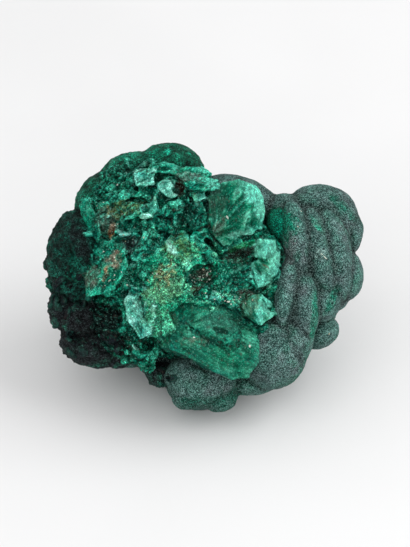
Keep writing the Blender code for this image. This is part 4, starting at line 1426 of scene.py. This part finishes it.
@dataclass
class Grains(Piece):
    """Pale glassy grains caught in the ore, some of them thin pale streaks that are painted highlights.

    Args:
        patches: Where more of them are strewn: centre and spread.
        strewn: How many lie in each patch.
        sizes: Their smallest and largest radius.
        tilt: How far they tip either way, in degrees.
        seed: Which scatter.
    """

    patches: tuple[tuple[float, float, float, float], ...] = (
        (-11, 1, 8, 7), (-28, 20, 8, 8), (-30, 4, 5, 6), (8, -6, 8, 2), (-1.5, 1.5, 3.5, 2.4),
    )
    strewn: int = 12
    sizes: Pair = (0.22, 0.42)
    tilt: float = 30.0
    seed: int = 9

    def scattered(self) -> list[Glint]:
        """Strews grains over the patches.

        Returns:
            The grains.
        """
        draw = random.Random(self.seed)
        found = []
        for x, y, wide, high in self.patches:
            for _ in range(self.strewn):
                spot = (x + wide * draw.uniform(-1, 1), y + high * draw.uniform(-1, 1))
                size = draw.uniform(*self.sizes)
                found.append(Glint(spot, size, size * draw.uniform(0.6, 0.9), draw.uniform(0, 180)))
        return found

    def build(self, under: list[bpy.types.Object], material: bpy.types.Material) -> bpy.types.Object:
        """Seats each grain on what lies under it.

        Args:
            under: The pieces that the grains are caught in.
            material: What they are dressed in.

        Returns:
            The piece.
        """
        graph = bpy.context.evaluated_depsgraph_get()
        trees = [BVHTree.FromObject(obj, graph) for obj in under]
        place = STANCE.matrix()
        inward = STANCE.direction((0, 0, -1))
        draw = random.Random(self.seed + 1)
        form = Form()
        for glint in [*GLINTS, *self.scattered()]:
            start = place @ Vector((*glint.spot, HIGH_ABOVE))
            hits = [hit for tree in trees if (hit := tree.ray_cast(start, inward))[0]]
            if hits:
                seat = place.inverted() @ min(hits, key=lambda hit: hit[3])[0]
                tips = [draw.uniform(-self.tilt, self.tilt) for _ in range(2)]
                half = Vector((glint.long, glint.wide, glint.wide))
                block = skewed(draw, turned(glint.lie, *tips), half)
                form.hull([seat + corner for corner in block], Lie(Ore.MINT))
        return self.stand(form.mesh(), material)


@dataclass
class Dressing:
    """A material's node tree as it is wired."""

    name: str

    def __post_init__(self) -> None:
        """Starts from the plain shader."""
        self.material = bpy.data.materials.new(self.name)
        self.material.use_nodes = True
        self.tree = self.material.node_tree
        self.shader = self.tree.nodes["Principled BSDF"]

    def node(self, kind: str, inputs: dict[int | str, object], **settings: object) -> bpy.types.Node:
        """A new node.

        Args:
            kind: Its type.
            inputs: What goes into its sockets: another socket, or a constant.
            settings: Its own settings.

        Returns:
            The node.
        """
        node = self.tree.nodes.new(kind)
        for key, value in settings.items():
            setattr(node, key, value)
        for key, value in inputs.items():
            if isinstance(value, bpy.types.NodeSocket):
                self.tree.links.new(value, node.inputs[key])
            else:
                node.inputs[key].default_value = value
        return node

    def maths(self, way: str, *values: Socket | float) -> Socket:
        """The outcome of one sum on numbers."""
        return self.node("ShaderNodeMath", dict(enumerate(values)), operation=way).outputs[0]

    def product(self, *values: Socket | float) -> Socket:
        """Numbers multiplied together."""
        return reduce(lambda first, second: self.maths("MULTIPLY", first, second), values)

    def spread(self, value: Socket, low: float, high: float, to_low: float, to_high: float) -> Socket:
        """A value eased from one range to another."""
        inputs = {"Value": value, "From Min": low, "From Max": high, "To Min": to_low, "To Max": to_high}
        return self.node("ShaderNodeMapRange", inputs, interpolation_type="SMOOTHSTEP").outputs[0]

    def mixed(self, part: Socket | float, first: Socket | Rgba, second: Socket | Rgba) -> Socket:
        """The first colour with a part of it given over to the second."""
        return self.node("ShaderNodeMix", {0: part, 6: first, 7: second}, data_type="RGBA").outputs[2]

    def attribute(self, name: str, output: str = "Fac") -> Socket:
        """A vertex attribute of the piece."""
        return self.node("ShaderNodeAttribute", {}, attribute_name=name).outputs[output]

    def noise(self, where: Socket, scale: float, detail: float = 4.0, rough: float = 0.6) -> Socket:
        """Soft noise."""
        inputs = {"Vector": where, "Scale": scale, "Detail": detail, "Roughness": rough}
        return self.node("ShaderNodeTexNoise", inputs).outputs[0]

    def cells(self, where: Socket, scale: float) -> tuple[Socket, list[Socket]]:
        """Cell noise: the distance to the cell's middle, and three numbers of the cell's own."""
        cells = self.node("ShaderNodeTexVoronoi", {"Vector": where, "Scale": scale})
        own = self.node("ShaderNodeSeparateColor", {0: cells.outputs["Color"]})
        return cells.outputs["Distance"], list(own.outputs)

    def place(self) -> Socket:
        """Where a point is, in millimetres."""
        return self.scaled(self.node("ShaderNodeTexCoord", {}).outputs["Object"], 1 / MM)

    def scaled(self, vector: Socket, factor: Socket | float) -> Socket:
        """A place moved further out, or a colour made brighter."""
        return self.node("ShaderNodeVectorMath", {0: vector, "Scale": factor}, operation="SCALE").outputs[0]

    def bumps(self, *layers: tuple[Socket, float]) -> None:
        """Fine relief on the shader, from layers of (height, distance in metres)."""
        below = {}
        for height, distance in layers:
            bump = self.node("ShaderNodeBump", {"Height": height, "Distance": distance, **below})
            below = {"Normal": bump.outputs[0]}
        self.tree.links.new(below["Normal"], self.shader.inputs["Normal"])

    def finish(self, colour: Socket, roughness: Socket, **sockets: float) -> bpy.types.Material:
        """Wires the shader's sockets.

        Args:
            colour: The base colour.
            roughness: The roughness.
            sockets: Constants of other sockets, with _ for the space in their names.

        Returns:
            The material.
        """
        self.tree.links.new(colour, self.shader.inputs["Base Color"])
        self.tree.links.new(roughness, self.shader.inputs["Roughness"])
        for key, value in sockets.items():
            self.shader.inputs[key.replace("_", " ")].default_value = value
        return self.material


@dataclass(frozen=True)
class Velvet:
    """A nap of tiny crystals, with painted shade between them and painted glints on their tips.

    Args:
        crystals: Crystals to a millimetre: the larger ones and the smaller ones.
        base: How light it is where no tip shines.
        painted_glints: The colour of the painted glints on its brightest tips.
        sheen: How strong its sheen is.
        gloss: How strong its reflections are.
    """

    crystals: Pair = (3.4, 5.6)
    base: float = 0.34
    painted_glints: Rgba = (0.24, 0.33, 0.31, 1)
    sheen: float = 0.02
    gloss: float = 0.06

    def material(self) -> bpy.types.Material:
        """Wires it.

        Returns:
            The material.
        """
        d = Dressing("velvet malachite")
        where, grit = d.place(), d.attribute("grit")
        (gap, tip), (fine_gap, small) = (d.cells(where, scale) for scale in self.crystals)
        cloud = d.noise(where, 0.6, 5, 0.7)
        # Painted glints on the crystals' tips; below, the gaps between crystals are darkened as painted
        # shade.
        tip_glints = d.maths("ADD", d.spread(tip[0], 0.55, 1, 0, 3.1), d.spread(small[1], 0.55, 1, 0, 2.9))
        tip_glints = d.product(tip_glints, d.spread(cloud, 0.35, 0.7, 0.7, 1.2))
        light = d.product(
            d.maths("ADD", tip_glints, self.base),
            d.spread(gap, 0.1, 0.6, 1.1, 0.5),
            d.spread(d.noise(where, 0.12, 3), 0.3, 0.7, 0.9, 1.12),
            # Paler on ridges and darker in hollows: partly wear, partly painted shade.
            d.spread(d.attribute("wear_and_shade"), 0.25, 0.75, 0.7, 1.25),
        )
        # How much of the painted glint colour the brightest tips take.
        painted_glints = d.product(d.spread(tip_glints, 1, 3.5, 0, 0.5), grit)
        colour = d.mixed(painted_glints, d.scaled(d.attribute("tone", "Color"), light), self.painted_glints)
        d.bumps((cloud, 0.0003), (gap, -0.0002), (fine_gap, -0.0001))
        rough = d.spread(cloud, 0.3, 0.7, 0.55, 0.85)
        shine = {"Sheen_Weight": self.sheen, "Sheen_Roughness": 0.5, "Specular_IOR_Level": self.gloss}
        return d.finish(colour, rough, **shine)


@dataclass(frozen=True)
class BrokenOre:
    """Silky fibres and grains with pale ends and dark gaps.

    Args:
        silk: Broad streaks to a millimetre across the fibres.
        threads: Fine ones.
        grains: Grains to a millimetre: chips, crumbs and dust.
        fleck: The colour of its pale crumbs, which are partly painted glints.
        soil: The colour of the earthy patches strewn over it.
        gloss: How strong its reflections are.
    """

    silk: float = 1.6
    threads: float = 4.5
    grains: Triple = (1.5, 3.0, 4.6)
    fleck: Rgba = (0.22, 0.60, 0.48, 1)
    soil: Rgba = (0.075, 0.070, 0.055, 1)
    gloss: float = 0.05

    def material(self) -> bpy.types.Material:
        """Wires it.

        Returns:
            The material.
        """
        d = Dressing("broken malachite")
        where, grit, weave = d.place(), d.attribute("grit"), d.attribute("weave", "Vector")
        silk, thread = d.noise(weave, self.silk, 6, 0.65), d.noise(weave, self.threads, 4, 0.7)
        cloud = d.noise(where, 0.8, 5)
        (_, chip), (gap, crumb), (_, dust) = (d.cells(where, scale) for scale in self.grains)
        grains = d.product(
            d.spread(chip[0], 0, 1, 0.75, 1.25),
            d.spread(crumb[1], 0, 1, 0.35, 1.75),
            d.spread(dust[2], 0, 1, 0.55, 1.45),
            d.spread(gap, 0.2, 0.7, 1.1, 0.7),
        )
        light = d.product(
            d.product(d.spread(silk, 0.3, 0.7, 0.6, 1.4), d.spread(thread, 0.3, 0.7, 0.75, 1.25)),
            d.node("ShaderNodeMix", {0: grit, 2: 1, 3: grains}).outputs[0],
            # Paler on ridges and darker in hollows: partly wear, partly painted shade.
            d.spread(d.attribute("wear_and_shade"), 0.2, 0.8, 0.6, 1.3),
        )
        colour = d.scaled(d.attribute("tone", "Color"), light)
        # Pale crumbs, partly painted glints.
        colour = d.mixed(d.product(d.spread(crumb[1], 0.88, 0.96, 0, 0.45), grit), colour, self.fleck)
        soil = d.product(d.spread(chip[2], 0.80, 0.92, 0, 0.5), d.spread(cloud, 0.42, 0.62, 0, 1))
        colour = d.mixed(soil, colour, self.soil)
        d.bumps((silk, 0.0005), (cloud, 0.0004), (gap, -0.00015), (thread, 0.0002))
        return d.finish(colour, d.spread(silk, 0.3, 0.7, 0.38, 0.7), Specular_IOR_Level=self.gloss)


@dataclass(frozen=True)
class PaleGrain:
    """Cloudy white grains, green in places, and some of them brown."""

    green: Rgba = (0.50, 0.62, 0.52, 1)
    white: Rgba = (0.80, 0.82, 0.74, 1)
    brown: Rgba = (0.50, 0.38, 0.22, 1)

    def material(self) -> bpy.types.Material:
        """Wires it.

        Returns:
            The material.
        """
        d = Dressing("pale grains")
        where = d.place()
        cloud = d.noise(where, 1.5, 4, 0.7)
        _, kind = d.cells(where, 0.4)
        colour = d.mixed(d.spread(cloud, 0.3, 0.7, 0, 1), self.green, self.white)
        colour = d.mixed(d.spread(kind[0], 0.6, 0.9, 0, 0.7), colour, self.brown)
        d.bumps((cloud, 0.0002))
        return d.finish(colour, d.spread(cloud, 0.3, 0.7, 0.25, 0.5))


@dataclass(frozen=True)
class PaleFloor:
    """A matt pale floor with faint dust on it."""

    plain: Rgba = (0.79, 0.79, 0.793, 1)
    dusty: Rgba = (0.78, 0.78, 0.78, 1)
    gloss: float = 0.1

    def material(self) -> bpy.types.Material:
        """Wires it.

        Returns:
            The material.
        """
        d = Dressing("pale floor")
        where = d.place()
        soft, dust = d.noise(where, 0.004, 3), d.noise(where, 0.08, 4)
        colour = d.mixed(d.spread(dust, 0.4, 0.8, 0, 0.05), self.plain, self.dusty)
        colour = d.scaled(colour, d.spread(soft, 0.3, 0.7, 0.97, 1.03))
        d.bumps((dust, 0.0001))
        return d.finish(colour, d.spread(soft, 0.3, 0.7, 0.75, 0.85), Specular_IOR_Level=self.gloss)


def aimed(obj: bpy.types.Object, spot: Vector, back: Vector) -> None:
    """Puts a light or the camera at a spot, with its back this way.

    Args:
        obj: The light or the camera.
        spot: Where it goes.
        back: The way that its back faces.
    """
    obj.location = spot
    obj.rotation_mode = "QUATERNION"
    obj.rotation_quaternion = back.to_track_quat("Z", "Y")


@dataclass(frozen=True)
class Softbox:
    """A round soft light: the way it lies from the stone, how strong, how far off and how wide."""

    name: str
    way: Triple
    power: float
    distance: float = 1.25
    size: float = 1.2

    def hang(self) -> None:
        """Hangs it in the studio."""
        data = bpy.data.lights.new(self.name, "AREA")
        data.shape = "DISK"
        data.size = self.size
        data.energy = self.power
        lamp = Bench.put(data, self.name)
        way = Vector(self.way).normalized()
        aimed(lamp, STANCE.matrix().translation + way * self.distance, way)


@dataclass
class Studio:
    """A plain pale floor, soft lights and the camera.

    Args:
        distance: How far the camera stands from the middle of the face frame, in metres.
        pixels: The picture's height, in its own pixels.
        scale: Millimetres to one of those pixels, at the middle of the face frame.
        rise: How far the camera is raised in the picture, in those pixels.
        sensor: The camera's sensor, in millimetres.
        boxes: Its soft lights.
        world: How bright the pale surroundings are.
        reach: Half the floor's width, in metres.
    """

    distance: float = 0.9
    pixels: float = 547.0
    scale: float = 1 / 3
    rise: float = 6.5
    sensor: float = 36.0
    boxes: tuple[Softbox, ...] = (
        Softbox("key", (0.76, -0.02, 0.65), 8.4),
        Softbox("fill", (-0.30, -0.55, 0.78), 3.6),
    )
    world: float = 0.80
    reach: float = 3.0

    def floor(self) -> None:
        """The pale floor."""
        bm = bmesh.new()
        bmesh.ops.create_grid(bm, x_segments=8, y_segments=8, size=self.reach)
        mesh = bpy.data.meshes.new("floor")
        bm.to_mesh(mesh)
        bm.free()
        mesh.materials.append(PaleFloor().material())
        Bench.put(mesh, "floor")

    def lights(self) -> None:
        """The soft lights and the pale surroundings."""
        for box in self.boxes:
            box.hang()
        world = bpy.data.worlds.new("studio")
        world.use_nodes = True
        back = world.node_tree.nodes["Background"]
        back.inputs[0].default_value = (1, 1, 1, 1)
        back.inputs[1].default_value = self.world
        bpy.context.scene.world = world

    def camera(self) -> None:
        """The camera, looking straight at the broken side."""
        data = bpy.data.cameras.new("camera")
        data.sensor_width = self.sensor
        data.lens = self.sensor * self.distance / (self.pixels * self.scale * MM)
        data.clip_start = 0.05
        back, up = STANCE.direction((0, 0, 1)), STANCE.direction((0, 1, 0))
        spot = STANCE.matrix().translation + back * self.distance + up * (self.rise * self.scale * MM)
        obj = Bench.put(data, "camera")
        aimed(obj, spot, back)
        bpy.context.scene.camera = obj

    def build(self) -> None:
        """Sets the stage."""
        self.floor()
        self.lights()
        self.camera()
        bpy.context.scene.view_settings.view_transform = "Standard"


def main() -> None:
    """Builds the stone and its stage."""
    logging.basicConfig(level=logging.INFO, format="%(relativeCreated)6d ms %(message)s")
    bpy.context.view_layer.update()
    growth = Growth()
    crust = Crust("crust", 0.5).build(growth, Velvet().material())
    broken = Break("break", 0.33).build(growth, BrokenOre().material())
    Grains("grains", 0.0).build([crust, broken], PaleGrain().material())
    Studio().build()


if __name__ == "__main__":
    main()
